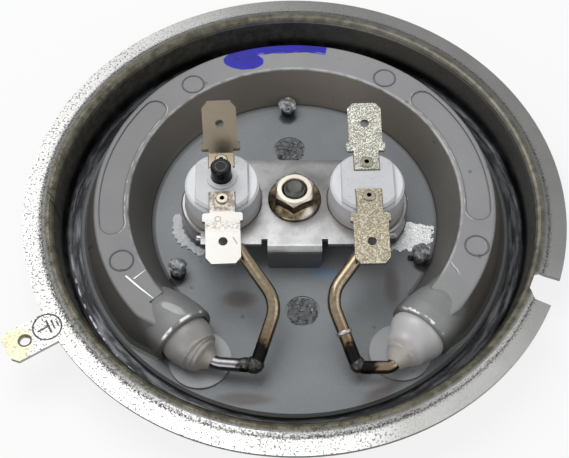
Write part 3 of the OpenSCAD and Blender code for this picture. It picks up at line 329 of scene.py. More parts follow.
def cast_aluminium():
    f = Finish("cast_aluminium", metallic=0.25, specular=0.4)
    cloud = f.noise(9.0, 4.0, 0.55)
    grain = f.noise(0.28, 4.0, 0.7)
    pits = f.specks(1.6, 0.035)
    up = f.upward()
    low = f.mix(cloud, (0.145, 0.155, 0.162), (0.20, 0.212, 0.22))
    top = f.mix(cloud, (0.21, 0.21, 0.22), (0.28, 0.28, 0.28))
    # Painted shade: walls are darker than faces that look up, and browner at the rear inner wall.
    shaded_walls = f.mix(cloud, (0.085, 0.080, 0.070), (0.135, 0.125, 0.110))
    rear_wall_shade = f.both(f.ramp(f.y, 8.0, 20.0), f.ramp(f.radius, 33.0, 31.0))
    shaded_walls = f.mix(f.both(rear_wall_shade, 0.5), shaded_walls, (0.16, 0.125, 0.095))
    raised = f.ramp(f.z, 5.0, 8.8)
    tone = f.mix(up, shaded_walls, f.mix(raised, low, top))
    ends = f.most(f.spot((-21.9, -24.6), (5.2, 7.2), 40.0, 0.0, 0.15),
                  f.spot((24.6, -23.6), (5.2, 7.2), -38.0, 0.0, 0.15))
    smooth = f.both(ends, f.ramp(f.z, 2.6, 3.4))
    tone = f.mix(smooth, tone, f.mix(cloud, (0.20, 0.205, 0.205), (0.27, 0.27, 0.265)))
    fine = f.both(f.ramp(grain, 0.55, 0.75), 0.35)
    tone = f.mix(f.both(fine, up), tone, (0.46, 0.47, 0.48))
    tone = f.mix(f.both(pits, 0.45), tone, (0.05, 0.05, 0.05))
    # Painted shade: the left side of the casting is darkened above the floor.
    left_shade = f.ramp(f.x, 0.0, -34.0)
    tone = f.mix(f.both(f.both(left_shade, f.ramp(f.z, 2.9, 3.4)), 0.4), tone, (0.06, 0.06, 0.06))
    floor_only = f.ramp(f.z, 2.9, 2.4)
    border = f.most(f.band(f.away((-0.85, 16.2)), 2.3, 2.75, 0.2),
                    f.band(f.away((1.4, -20.5)), 2.3, 2.75, 0.2))
    tone = f.mix(f.both(f.both(border, 0.8), floor_only), tone, (0.006, 0.006, 0.007))
    # Painted shadows: brown patches on the floor towards the front.
    brown_shadows = f.both(f.most(f.spot((-10.3, -17.9), (2.9, 1.7), 0.0, 0.2, 0.5),
                          f.spot((-9.2, -38.0), (4.8, 1.1), -2.0, 0.2, 0.5),
                          f.spot((15.0, -37.0), (3.6, 1.2), 30.0, 0.2, 0.6),
                          f.spot((18.1, -15.2), (1.3, 4.0), 0.0, 0.2, 0.6)), 0.62)
    # Painted shadows: black patches on the floor in front of the three stubs.
    stub_shadows = f.most(f.spot((-1.2, 24.3), (1.7, 1.5), 0.0, 0.2, 0.3),
                   f.spot((-22.1, -14.1), (1.6, 1.2), 20.0, 0.2, 0.3),
                   f.spot((24.3, -11.2), (1.9, 1.1), -20.0, 0.2, 0.3))
    tone = f.mix(f.both(f.both(stub_shadows, 0.9), floor_only), tone, (0.008, 0.008, 0.009))
    tone = f.mix(f.both(brown_shadows, floor_only), tone, (0.075, 0.052, 0.045))
    # Painted highlights: pale patches on the two pads and a pale smear beside the right one.
    pad_highlights = f.most(f.spot((18.9, -29.0), (5.6, 5.6), 0.0, 0.0, 0.04),
                       f.spot((-17.06, -30.4), (5.6, 5.6), 0.0, 0.0, 0.04))
    smear = f.spot((14.6, -34.6), (3.4, 1.2), 14.0, 0.4, 0.6)
    tone = f.mix(f.both(f.both(f.most(pad_highlights, smear), floor_only), 0.45), tone, (0.52, 0.52, 0.53))
    rims = f.most(*(f.band(f.math("ADD", f.both(f.math("SUBTRACT", f.x, x), dx),
                                  f.both(f.math("SUBTRACT", f.y, y), dy)), -0.62, -0.15, 0.12)
                    for x, y, dx, dy in ((-19.7, -27.3, 0.643, -0.766), (22.2, -26.4, -0.616,
                                                                          -0.788))))
    glints = f.both(f.both(rims, f.ramp(f.z, 8.6, 9.4)), f.ramp(f.noise(1.3), 0.44, 0.56))
    tone = f.mix(f.both(glints, smooth), tone, (0.85, 0.85, 0.85))
    patch = f.both(f.spot((-21.5, -24.4), (2.4, 0.8), -30.0, 0.25, 0.2), f.ramp(f.z, 8.5, 9.5))
    tone = f.mix(f.both(patch, 0.7), tone, (0.42, 0.42, 0.42))
    smudge = f.spot((6.0, -12.4), (3.6, 1.3), -20.0, 0.4, 0.4)
    smudge = f.both(smudge, f.both(f.noise(0.8), 0.9))
    tone = f.mix(f.both(smudge, floor_only), tone, (0.10, 0.20, 0.34))
    dot = f.spot((21.7, 4.3), (0.45, 0.4), 0.0, 0.2, 0.2)
    tone = f.mix(f.both(dot, floor_only), tone, (0.80, 0.80, 0.80))
    # Painted shade: a dark band at the inner foot of the ridge, except at the front.
    foot_shade = f.both(f.band(f.radius, 27.0, 28.4, 0.5), f.both(floor_only, f.ramp(f.y, -22.0, -12.0)))
    tone = f.mix(f.both(foot_shade, 0.75), tone, (0.03, 0.03, 0.03))
    scratch = f.both(f.stroke((-39.9, -7.1), (-37.4, -9.2), 0.25), f.ramp(f.z, 3.0, 3.6))
    tone = f.mix(f.both(scratch, 0.7), tone, (0.03, 0.03, 0.03))
    round_turn = f.math("FLOORED_MODULO", f.angle, 360.0)
    across = f.math("SUBTRACT", f.radius, PANEL_R)
    near = []
    for low, high, turn in ((143.0, 190.0, round_turn), (-5.0, 42.0, f.angle)):
        past = f.math("MAXIMUM", f.math("SUBTRACT", low, turn), f.math("SUBTRACT", turn, high))
        past = f.both(f.math("MAXIMUM", past, 0.0), PANEL_R * pi / 180)
        near.append(f.math("SQRT", f.math("ADD", f.both(past, past), f.both(across, across))))
    near = f.math("MINIMUM", *near)
    ridge_top = f.both(up, f.ramp(f.z, 9.0, 9.2))
    tone = f.mix(f.both(f.both(f.band(near, PANEL_HALF - 0.05, PANEL_HALF + 0.12, 0.08), 0.7),
                        ridge_top), tone, (0.03, 0.03, 0.03))
    rings = f.most(*(f.band(f.away(spot), 2.02, 2.3, 0.1) for spot in EJECTORS))
    tone = f.mix(f.both(f.both(rings, 0.6), ridge_top), tone, (0.04, 0.04, 0.04))
    lit = f.both(f.band(near, PANEL_HALF + 0.22, PANEL_HALF + 0.34, 0.08), f.ramp(across, 0.0, -0.5))
    lit = f.both(f.both(lit, ridge_top), f.ramp(f.noise(2.0), 0.45, 0.6))
    tone = f.mix(f.both(lit, 0.7), tone, (0.66, 0.66, 0.66))
    # Painted highlight: a light line on the ridge's inner edge, away from the front.
    rim = f.both(f.band(f.radius, 31.15, 31.5, 0.25), f.ramp(f.z, 9.0, 9.3))
    rim = f.both(rim, f.both(f.ramp(f.y, -19.0, -15.0), f.ramp(f.noise(3.0), 0.3, 0.6)))
    tone = f.mix(f.both(rim, 0.55), tone, (0.62, 0.62, 0.61))
    blob = f.spot((-10.2, 33.3), (4.1, 2.3), -4.0, 0.08, 0.03)
    wavy = f.math("ADD", f.radius, f.both(f.noise(2.5), 1.2))
    arc = f.both(f.ramp(wavy, 36.0, 36.15), f.band(f.angle, 79.4, 111.0, 0.3))
    high = f.ramp(f.z, 4.0, 5.5)
    paint = f.both(f.most(blob, arc), high)
    blue = f.mix(f.noise(3.5, 2.0), (0.003, 0.002, 0.13), (0.010, 0.005, 0.46))
    glare = f.both(f.band(wavy, 36.25, 36.45, 0.12), f.ramp(f.noise(3.5), 0.45, 0.6))
    tone = f.mix(paint, tone, f.mix(f.both(glare, 0.5), blue, (0.45, 0.45, 0.85)))
    f.colour(tone)
    f.rough(f.blend(paint, f.blend(grain, 0.45, 0.62), 0.35))
    relief = f.math("SUBTRACT", grain, f.both(pits, 1.5))
    relief = f.math("ADD", relief, f.both(f.noise(2.2, 2.0), 0.8))
    f.bump(f.math("SUBTRACT", relief, f.both(scratch, 2.0)), 0.03)
    return f.material


# %% [markdown]
# ## Silicone, ceramic and plastic
# The seals are white silicone, soft and a little waxy, and tan where the pin has heated their
# necks. The cut-outs' bodies are white unglazed ceramic with tiny grey pores. The button is
# black and glossy.

# %% Finishes of the pieces that aren't metal
def white_silicone():
    f = Finish("white_silicone", coat=0.25, specular=0.45)
    f.shader.inputs["Subsurface Weight"].default_value = 0.2
    f.shader.inputs["Subsurface Radius"].default_value = (0.6 * MM, 0.5 * MM, 0.4 * MM)
    f.shader.inputs["Subsurface Scale"].default_value = 1.0
    cloud = f.noise(3.0, 3.0)
    left = f.ramp(f.x, 4.0, -4.0)
    tone = f.mix(left, f.mix(cloud, (0.46, 0.45, 0.45), (0.56, 0.55, 0.55)),
                 f.mix(cloud, (0.22, 0.21, 0.20), (0.34, 0.33, 0.32)))
    tan_left = f.spot((-14.4, -31.9), (2.6, 3.4), -50.0, 0.1, 0.5)
    tan_right = f.spot((17.6, -31.2), (2.4, 3.2), 52.0, 0.1, 0.5)
    tan = f.math("MULTIPLY", f.math("MAXIMUM", tan_left, tan_right), 0.6)
    f.colour(f.mix(tan, tone, (0.33, 0.29, 0.24)))
    f.rough(f.blend(cloud, 0.30, 0.48))
    f.bump(f.math("ADD", cloud, f.math("MULTIPLY", f.noise(0.5), 0.3)), 0.12)
    return f.material


def ceramic():
    f = Finish("ceramic", specular=0.5)
    cloud = f.noise(4.0, 3.0)
    pores = f.specks(0.7, 0.14)
    tone = f.mix(cloud, (0.50, 0.505, 0.52), (0.66, 0.665, 0.68))
    tone = f.mix(f.both(pores, 0.45), tone, (0.36, 0.36, 0.37))
    side_of = f.math("ABSOLUTE", f.math("SUBTRACT", f.math("ABSOLUTE", f.x), 13.45))
    lines = f.both(f.band(side_of, 4.72, 4.9, 0.08), f.ramp(f.z, 13.7, 13.9))
    tone = f.mix(f.both(f.ramp(side_of, 4.8, 5.0), f.ramp(f.z, 13.0, 13.6)), tone, (0.74, 0.745, 0.76))
    smear = f.both(f.ramp(f.noise(1.1, 5.0, 0.7), 0.56, 0.7), f.ramp(f.z, 13.5, 14.5))
    tone = f.mix(f.both(f.most(lines, smear), 0.5), tone, (0.30, 0.30, 0.32))
    # Painted shade: the lower part of the bodies is darker and browner.
    low_shade = f.ramp(f.z, 11.5, 9.0)
    tone = f.mix(f.both(low_shade, 0.6), tone, (0.36, 0.31, 0.27))
    f.colour(tone)
    f.rough(f.blend(cloud, 0.40, 0.55))
    f.bump(f.math("SUBTRACT", f.noise(0.3), f.math("MULTIPLY", pores, 0.8)), 0.02)
    return f.material


def plain_nonmetal(name, dark, light, rough, blotch=2.0, relief=0.01, coat=0.0, specular=0.5):
    """A cloudy finish between two tones, for pieces without special marks."""
    f = Finish(name, coat=coat, specular=specular)
    cloud = f.noise(blotch, 4.0)
    f.colour(f.mix(cloud, dark, light))
    f.rough(f.blend(cloud, rough - 0.06, rough + 0.06))
    f.bump(f.noise(0.25), relief)
    return f.material


# %% [markdown]
# ## Small metal pieces
# Sheet metal gets its character from a fine grain along one direction and small dark specks.
# One function makes all of them, with two tones, a roughness and a grain direction.

# %% Finishes of the small metal pieces
def sheet_metal(name, dark, light, rough, grain=(1.0, 1.0, 1.0), fleck=0.0, fleck_tone=(0, 0, 0),
                fleck_size=0.3, relief=0.008):
    """Metal between two tones, with a grain that is stretched and optional flecks."""
    f = Finish(name, metallic=1.0)
    cloud = f.noise(2.5, 4.0)
    lines = f.noise(0.3, 4.0, 0.6, stretch=grain)
    tone = f.mix(f.math("ADD", f.math("MULTIPLY", cloud, 0.6), f.math("MULTIPLY", lines, 0.4)),
                 dark, light)
    if fleck:
        marks = f.ramp(f.noise(fleck_size, 3.0, 0.6), 0.60, 0.66)
        tone = f.mix(f.math("MULTIPLY", marks, fleck), tone, fleck_tone)
    f.colour(tone)
    f.rough(f.blend(lines, rough - 0.08, rough + 0.08))
    f.bump(lines, relief)
    return f.material


def pin_steel():
    """Heat-tinted pins: silver at the seals, burnt black at the low corner, straw above."""
    f = Finish("pin_steel", metallic=1.0)
    lines = f.noise(0.6, 3.0)
    straw = f.mix(lines, (0.12, 0.091, 0.055), (0.31, 0.26, 0.19))
    brown = f.mix(f.ramp(f.z, 10.5, 7.0), straw, (0.13, 0.083, 0.044))
    silver = f.mix(f.ramp(f.x, -4.0, 4.0), (0.15, 0.15, 0.155), (0.19, 0.15, 0.11))
    seal_side = f.most(f.ramp(f.x, -9.0, -11.0), f.ramp(f.x, 13.0, 15.0))
    tone = f.mix(f.both(seal_side, f.ramp(f.z, 7.0, 6.4)), brown, silver)
    ragged = f.both(f.math("SUBTRACT", f.noise(0.9, 4.0), 0.5), 2.5)
    left, right = f.away((-6.9, -32.7)), f.away((11.0, -32.7))
    black = f.ramp(f.math("ADD", f.math("MINIMUM", left, right), ragged), 3.9, 2.7)
    f.colour(f.mix(black, tone, (0.010, 0.009, 0.009)))
    f.rough(f.blend(black, 0.20, 0.42))
    f.bump(lines, 0.015)
    return f.material


def yellow_zinc():
    """Yellow-passivated nut: brown on flats and flange, with painted highlights on its top and at the
    front of the flange.
    """
    f = Finish("yellow_zinc", metallic=1.0)
    cloud = f.noise(1.6, 4.0, 0.6)
    tone = f.mix(f.ramp(cloud, 0.35, 0.65), (0.065, 0.049, 0.029), (0.26, 0.21, 0.14))
    # Painted highlights: the top face and a spot at the front of the flange are made lighter.
    top_highlight = f.both(f.ramp(f.z, 11.45, 11.9), f.upward())
    shine = f.spot((2.6, -3.6), (2.2, 0.7), 50.0, 0.3, 0.4)
    tone = f.mix(f.most(top_highlight, f.both(shine, f.ramp(f.z, 10.0, 9.6))), tone, (0.39, 0.36, 0.31))
    f.colour(tone)
    f.rough(f.blend(cloud, 0.22, 0.36))
    f.bump(cloud, 0.01)
    return f.material


def bracket_aluminium():
    """Satin aluminium: a painted highlight along the rolled front edge, painted shade in the middle
    round the nut and at the rear, the leg duller.
    """
    f = Finish("bracket_aluminium", metallic=1.0)
    cloud = f.ramp(f.noise(3.2, 4.0, 0.6), 0.35, 0.65)
    lines = f.noise(0.3, 4.0, 0.6, stretch=(0.3, 1.0, 1.0))
    tone = f.mix(cloud, (0.12, 0.12, 0.12), (0.17, 0.17, 0.17))
    # Painted highlight: the plate grows lighter towards the front.
    tone = f.mix(f.ramp(f.y, 1.0, -9.0), tone, f.mix(cloud, (0.23, 0.23, 0.23), (0.30, 0.30, 0.30)))
    leg = f.ramp(f.z, 7.6, 6.9)
    tone = f.mix(f.both(leg, 0.85), tone, (0.20, 0.20, 0.20))
    # Painted shade: darker round the nut and at the rear edge.
    painted_shade = f.most(f.ramp(f.away((1.6, 0.6)), 7.6, 5.0), f.ramp(f.y, 7.8, 9.0))
    tone = f.mix(f.both(painted_shade, 0.5), tone, (0.072, 0.070, 0.068))
    marks = f.ramp(f.noise(0.5, 3.0, 0.6), 0.60, 0.66)
    f.colour(f.mix(f.both(marks, 0.3), tone, (0.12, 0.12, 0.12)))
    f.rough(f.blend(lines, 0.26, 0.42))
    f.bump(lines, 0.01)
    return f.material


FINISHES = {
    "stainless_sheet": stainless_sheet(),
    "cast_aluminium": cast_aluminium(),
    "tube_steel": sheet_metal("tube_steel", (0.070, 0.070, 0.077), (0.17, 0.17, 0.18), 0.45),
    "packed_powder": plain_nonmetal("packed_powder", (0.70, 0.69, 0.66), (0.86, 0.85, 0.82), 0.8),
    "resistance_wire": sheet_metal("resistance_wire", (0.16, 0.15, 0.13), (0.32, 0.30, 0.27), 0.5),
    "pin_steel": pin_steel(),
    "white_silicone": white_silicone(),
    "stud_steel": sheet_metal("stud_steel", (0.03, 0.03, 0.028), (0.12, 0.12, 0.11), 0.5),
    "yellow_zinc": yellow_zinc(),
    "bracket_aluminium": bracket_aluminium(),
    "cap_aluminium": sheet_metal("cap_aluminium", (0.17, 0.17, 0.17), (0.24, 0.24, 0.24), 0.32,
                                 grain=(0.4, 0.4, 1.5)),
    "bimetal": sheet_metal("bimetal", (0.23, 0.19, 0.14), (0.30, 0.26, 0.20), 0.35),
    "guide_plastic": plain_nonmetal("guide_plastic", (0.70, 0.66, 0.56), (0.82, 0.78, 0.68), 0.55),
    "ceramic": ceramic(),
    "contact_alloy": sheet_metal("contact_alloy", (0.35, 0.22, 0.14), (0.46, 0.32, 0.21), 0.3),
    "plated_terminal": sheet_metal("plated_terminal", (0.29, 0.27, 0.23), (0.50, 0.48, 0.43), 0.36,
                                   fleck=0.55, fleck_tone=(0.12, 0.11, 0.087), fleck_size=0.45,
                                   relief=0.03),
    "rivet_brass": sheet_metal("rivet_brass", (0.18, 0.16, 0.12), (0.30, 0.28, 0.23), 0.25),
    "black_plastic": plain_nonmetal("black_plastic", (0.001, 0.001, 0.002), (0.004, 0.004, 0.006),
                                    0.16, relief=0.002, specular=0.12),
}
# Painted shade: a darker, brown copy of the plated finish for the left rear blade.
SHADED_BLADE = sheet_metal("shaded_blade", (0.175, 0.148, 0.108), (0.24, 0.208, 0.155), 0.34,
                         grain=(1.0, 0.3, 0.3), relief=0.006)


def sparkling(name, dark, light, size=0.5, rough=0.36):
    """Plated brass with a coarse crystal pattern, cream to silver."""
    f = Finish(name, metallic=1.0)
    crystals = f.ramp(f.noise(size, 3.0, 0.6), 0.40, 0.60)
    f.colour(f.mix(crystals, dark, light))
    f.rough(f.blend(crystals, rough + 0.1, rough - 0.06))
    f.bump(crystals, 0.03)
    return f.material


def front_left_blade():
    """Nearly white, with olive specks at the bend and a small ring mark on the shoulder."""
    f = Finish("front_left_blade", metallic=1.0)
    cloud = f.noise(1.5, 4.0)
    tone = f.mix(cloud, (0.31, 0.30, 0.29), (0.40, 0.39, 0.37))
    neck = f.mix(f.ramp(f.noise(0.6, 3.0), 0.4, 0.6), (0.14, 0.12, 0.099), (0.29, 0.27, 0.24))
    tone = f.mix(f.ramp(f.y, -7.4, -6.6), tone, neck)
    at_bend = f.band(f.y, -10.9, -9.4, 0.9)
    olive = f.both(at_bend, f.ramp(f.noise(0.35, 4.0, 0.7), 0.47, 0.56))
    mark = f.band(f.away((-13.9, -8.75)), 0.42, 0.62, 0.06)
    tone = f.mix(f.both(f.most(olive, mark), 0.75), tone, (0.14, 0.12, 0.081))
    scratch = f.stroke((-11.1, -12.4), (-10.3, -13.7), 0.2)
    f.colour(f.mix(f.both(scratch, 0.7), tone, (0.062, 0.056, 0.043)))
    f.rough(f.blend(cloud, 0.36, 0.5))
    f.bump(cloud, 0.01)
    return f.material


SILVER_BLADE = sparkling("silver_blade", (0.15, 0.145, 0.115), (0.44, 0.435, 0.39), size=0.27)
GOLD_BLADE = sparkling("gold_blade", (0.17, 0.15, 0.105), (0.36, 0.33, 0.26), size=0.30)
BURNT = plain_nonmetal("burnt_weld", (0.001, 0.001, 0.001), (0.010, 0.008, 0.007), 0.3,
                       blotch=0.6, relief=0.05)


def broken_metal():
    """Fracture of a feeder: light grey and facetted above, black in its shaded root."""
    f = Finish("broken_metal", metallic=0.15)
    facets = f.ramp(f.noise(1.0, 3.0), 0.38, 0.62)
    tone = f.mix(facets, (0.09, 0.095, 0.10), (0.34, 0.35, 0.36))
    f.colour(f.mix(f.ramp(f.z, 3.9, 3.0), tone, (0.012, 0.012, 0.014)))
    f.rough(f.blend(facets, 0.7, 0.55))
    f.bump(facets, 0.05)
    return f.material


FEEDER = broken_metal()
SCAR = plain_nonmetal("gate_scar", (0.002, 0.002, 0.003), (0.035, 0.040, 0.050), 0.3, blotch=1.2,
                      relief=0.1, coat=0.15)
BRIGHT_EDGE = sheet_metal("bright_flash", (0.26, 0.26, 0.26), (0.42, 0.42, 0.42), 0.4)
PASTE = plain_nonmetal("dried_paste", (0.34, 0.345, 0.36), (0.80, 0.80, 0.82), 0.8, blotch=0.6,
                       relief=0.08)
FILM = sheet_metal("torn_film", (0.29, 0.29, 0.29), (0.57, 0.58, 0.58), 0.3, fleck=0.5,
                   fleck_tone=(0.087, 0.087, 0.093), fleck_size=0.5, relief=0.05)
PALE_METAL = sheet_metal("pale_ring", (0.24, 0.235, 0.22), (0.42, 0.41, 0.39), 0.4)
BUTTON_RIM = plain_nonmetal("button_rim", (0.012, 0.012, 0.014), (0.16, 0.16, 0.19), 0.26,
                            blotch=0.8)
print("finishes:", len(FINISHES))

# %% [markdown]
# ## Dress the frame's nodes
# The record names a material slot for each node, so one loop gives every node its finish. The
# frame's meshes are loose triangles. A Weld modifier joins them and a narrow Bevel rounds the
# edges, which is what makes stamped and moulded pieces catch the light.

# %% Give each node its finish and soft edges
SLOT_OF = {entry["node"]: entry["material_slot"] for entry in frame["record"]["subparts"]}
EDGE = {"flange_nut": 0.12, "clamp_bracket": 0.14, "reset_button": 0.1}


def soften(node, width, angle=32):
    """Joins a node's loose triangles and rounds its sharp edges by width mm."""
    weld = node.modifiers.new("weld", "WELD")
    weld.merge_threshold = 0.002 * MM
    bevel = node.modifiers.new("bevel", "BEVEL")
    bevel.width = width * MM
    bevel.segments = 2
    bevel.limit_method = "ANGLE"
    bevel.angle_limit = radians(angle)
    bevel.harden_normals = True


for name, node in frame["nodes"].items():
    node.data.materials.clear()
    node.data.materials.append(FINISHES[SLOT_OF[name]])
# The left rear blade takes the plated finish darkened with painted shade.
frame["nodes"]["reset_rear_terminal"].data.materials[0] = SHADED_BLADE
frame["nodes"]["reset_front_terminal"].data.materials[0] = front_left_blade()
frame["nodes"]["auto_rear_terminal"].data.materials[0] = SILVER_BLADE
frame["nodes"]["auto_front_terminal"].data.materials[0] = GOLD_BLADE
SHARP = ("flange_nut", "clamp_bracket", "reset_button", "reset_front_terminal",
         "reset_rear_terminal", "auto_front_terminal", "auto_rear_terminal")
for name in SHARP:
    soften(frame["nodes"][name], EDGE.get(name, 0.08))
print("softened:", len(SHARP), "nodes")

# %% [markdown]
# ## How the new pieces are made
# Everything below is modelled as by hand: a primitive is added at its place, shaped in edit
# mode, and finished. These helpers hold the steps that every piece shares. `pick` selects
# faces by where they are, which is what a mouse would do.

# %% Helpers for modelling
def fresh():
    """Leaves edit mode and deselects everything, so that an operator acts on the new piece only."""
    if bpy.context.object and bpy.context.object.mode == "EDIT":
        bpy.ops.object.mode_set(mode="OBJECT")
    bpy.ops.object.select_all(action="DESELECT")


def mm(*values):
    return tuple(value * MM for value in values)


def edit():
    """Puts the new piece's origin at the frame's and opens it with all faces selected."""
    bpy.ops.object.transform_apply(location=True, rotation=True, scale=True)
    bpy.ops.object.mode_set(mode="EDIT")
    bpy.ops.mesh.select_mode(type="FACE")
    bpy.ops.mesh.select_all(action="SELECT")


def pick(test):
    """Selects the faces whose middle, in mm, and normal pass the test."""
    mesh = bmesh.from_edit_mesh(bpy.context.object.data)
    for face in mesh.faces:
        face.select_set(bool(test(face.calc_center_median() / MM, face.normal)))
    mesh.select_flush_mode()
    bmesh.update_edit_mesh(bpy.context.object.data)


def rise(distance, direction=(0, 0, 1)):
    """Extrudes the selected faces by distance mm."""
    bpy.ops.mesh.extrude_region_move(TRANSFORM_OT_translate={
        "value": Vector(direction).normalized() * distance * MM})


def swell(factor, centre):
    """Scales what is selected in plan about a centre in mm."""
    bpy.ops.transform.resize(value=(factor, factor, 1.0), center_override=mm(*centre))


def rough_up(offset, seed):
    """Moves the selected corners by up to offset mm, always in the same way."""
    bpy.ops.transform.vertex_random(offset=offset * MM, seed=seed)


def bend(at, before, after, radius):
    """Spins the selected end round, from the direction before to the direction after."""
    axis = before.cross(after)
    centre = at + (after - before * before.dot(after)).normalized() * radius * MM
    bpy.ops.mesh.spin(steps=6, angle=-before.angle(after), center=centre, axis=axis.normalized())


def done(name, finish, body="base", smooth=40):
    """Names and places a finished piece, and hangs it on its body."""
    bpy.ops.object.mode_set(mode="EDIT")
    bpy.ops.mesh.select_all(action="SELECT")
    bpy.ops.mesh.remove_doubles(threshold=0.00001 * 0.5)
    bpy.ops.mesh.normals_make_consistent(inside=False)
    bpy.ops.object.mode_set(mode="OBJECT")
    piece = bpy.context.object
    piece.name = piece.data.name = name
    bpy.ops.object.transform_apply(location=True, rotation=True, scale=True)
    if smooth:
        bpy.ops.object.shade_smooth_by_angle(angle=radians(smooth))
    else:
        bpy.ops.object.shade_flat()
    piece.data.materials.clear()
    piece.data.materials.append(finish)
    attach(piece, body)
    print(name + ":", len(piece.data.polygons), "faces")
    return piece


def copied(piece, name, shift, body="base"):
    """A copy with its own mesh, moved by shift mm."""
    twin = piece.copy()
    twin.data = piece.data.copy()
    twin.name = twin.data.name = name
    twin.data.transform(Matrix.Translation(mm(*shift)))
    bpy.context.scene.collection.objects.link(twin)
    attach(twin, body)
    return twin


# %% [markdown]
# ## The threaded stud
# The stud is welded or cast in, and its M4 thread holds the nut. The drawing has a plain rod.
# A disc is extruded up through head, shank and core, and a small triangle is carried round by
# a Screw modifier with the thread's pitch of 0.7 mm, so the crests are a true helix.

# %% Stud with its thread
PITCH = 0.7
CREST_R, CORE_R, SHANK_R, HEAD_R = 1.99, 1.72, 1.98, 3.15
ROOT_Z, HEAD_Z, SEAT_Z, END_Z = 1.1, 2.08, 8.0, 12.8
fresh()
bpy.ops.mesh.primitive_circle_add(vertices=40, radius=HEAD_R * MM, fill_type="NGON",
                                  location=mm(0, 0, ROOT_Z))
edit()
rise(HEAD_Z - ROOT_Z)
bpy.ops.mesh.inset(thickness=(HEAD_R - SHANK_R) * MM)
rise(SEAT_Z - HEAD_Z)
bpy.ops.mesh.inset(thickness=(SHANK_R - CORE_R) * MM)
rise(END_Z - 0.45 - SEAT_Z)
rise(0.45)
swell(0.76, (0, 0, END_Z))
bpy.ops.mesh.inset(thickness=0.25 * MM, depth=-0.06 * MM)
bpy.ops.object.mode_set(mode="OBJECT")
bpy.ops.object.transform_apply(location=True, rotation=True, scale=True)
core = bpy.context.object
fresh()
bpy.ops.mesh.primitive_circle_add(vertices=3, radius=0.2 * MM, fill_type="NOTHING",
                                  location=mm((CREST_R + CORE_R) / 2 - 0.05, 0, SEAT_Z + 0.2),
                                  rotation=(pi / 2, pi / 2, 0))
bpy.ops.object.transform_apply(location=True, rotation=True, scale=True)
thread = bpy.context.object
helix = thread.modifiers.new("helix", "SCREW")
helix.axis = "Z"
helix.screw_offset = PITCH * MM
helix.iterations = 6
helix.steps = helix.render_steps = 32
bpy.ops.object.modifier_apply(modifier="helix")
bpy.ops.object.mode_set(mode="EDIT")
bpy.ops.mesh.select_all(action="SELECT")
bpy.ops.mesh.fill_holes(sides=4)
bpy.ops.object.mode_set(mode="OBJECT")
core.select_set(True)
bpy.context.view_layer.objects.active = core
bpy.ops.object.join()
stud = done("threaded_stud", FINISHES["stud_steel"], smooth=30)
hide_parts("stud")

# %% [markdown]
# ## Broken feeders
# Where molten metal ran into the mould, thin feeders are snapped off and leave ragged stubs.
# Each one starts as a ring of ten sides, is extruded in three uneven steps, and is then
# roughened with a fixed seed, flat shaded, because a fracture has facets.

# %% Ragged stubs
CASTING = FINISHES["cast_aluminium"]
FEEDERS = {"feeder_rear": ((-1.15, 25.9), 1.4, (1.5, 0.75, 0.5), (-0.2, 0.5), 1.42, 5),
           "feeder_left": ((-21.9, -12.4), 1.5, (1.9, 0.8, 0.6), (0.2, 0.6), 1.22, 8),
           "feeder_right": ((23.75, -9.4), 1.5, (1.9, 0.8, 0.6), (0.2, 0.6), 1.18, 3)}
for name, (spot, foot_r, steps, lean, spread, seed) in FEEDERS.items():
    fresh()
    bpy.ops.mesh.primitive_circle_add(vertices=9, radius=foot_r * MM, fill_type="NGON",
                                      location=mm(*spot, 2.0))
    edit()
    rise(steps[0])
    swell(0.94, (*spot, 0))
    rise(steps[1], (lean[0] * 0.4, lean[1] * 0.4, 1))
    swell(spread, (*spot, 0))
    rise(steps[2], (lean[0] * 0.6, lean[1] * 0.6, 1))
    swell(0.72, (*spot, 0))
    bpy.ops.mesh.poke()
    bpy.ops.mesh.select_all(action="SELECT")
    bpy.ops.mesh.subdivide(number_cuts=1)
    pick(lambda middle, normal: middle.z > 3.4)
    rough_up(0.34, seed)
    done(name, FEEDER, smooth=0)

fresh()
bpy.ops.mesh.primitive_ico_sphere_add(subdivisions=2, radius=0.62 * MM,
                                      location=mm(22.0, -9.3, 2.3))
edit()
rough_up(0.26, 12)
done("feeder_crumb", FEEDER, smooth=0)

# %% [markdown]
# ## Ejector rings
# Pins push the casting out of its mould and leave shallow round marks with a burr. The burr is
# a torus cut flat at the ridge's surface. It is modelled once and copied to the other marks.

# %% Burr rings of the ejector marks
RIDGE_TOP = 9.5
fresh()
bpy.ops.mesh.primitive_torus_add(major_segments=56, minor_segments=8, major_radius=2.15 * MM,
                                 minor_radius=0.17 * MM, location=mm(*EJECTORS[3], RIDGE_TOP))
edit()
bpy.ops.mesh.bisect(plane_co=mm(0, 0, RIDGE_TOP - 0.04), plane_no=(0, 0, 1), use_fill=True,
                    clear_inner=True)
bpy.ops.mesh.select_all(action="SELECT")
rough_up(0.03, 2)
ring = done("ejector_ring_front_left", CASTING, smooth=60)
for name, spot in zip(("ejector_ring_rear_left", "ejector_ring_rear_right",
                       "ejector_ring_right"), EJECTORS):
    copied(ring, name, (spot[0] - EJECTORS[3][0], spot[1] - EJECTORS[3][1], 0))

# %% [markdown]
# ## Flash lines
# Metal that seeps between the parts of a mould leaves thin raised lines. A small upright square
# is extruded from point to point and pinched at its end.

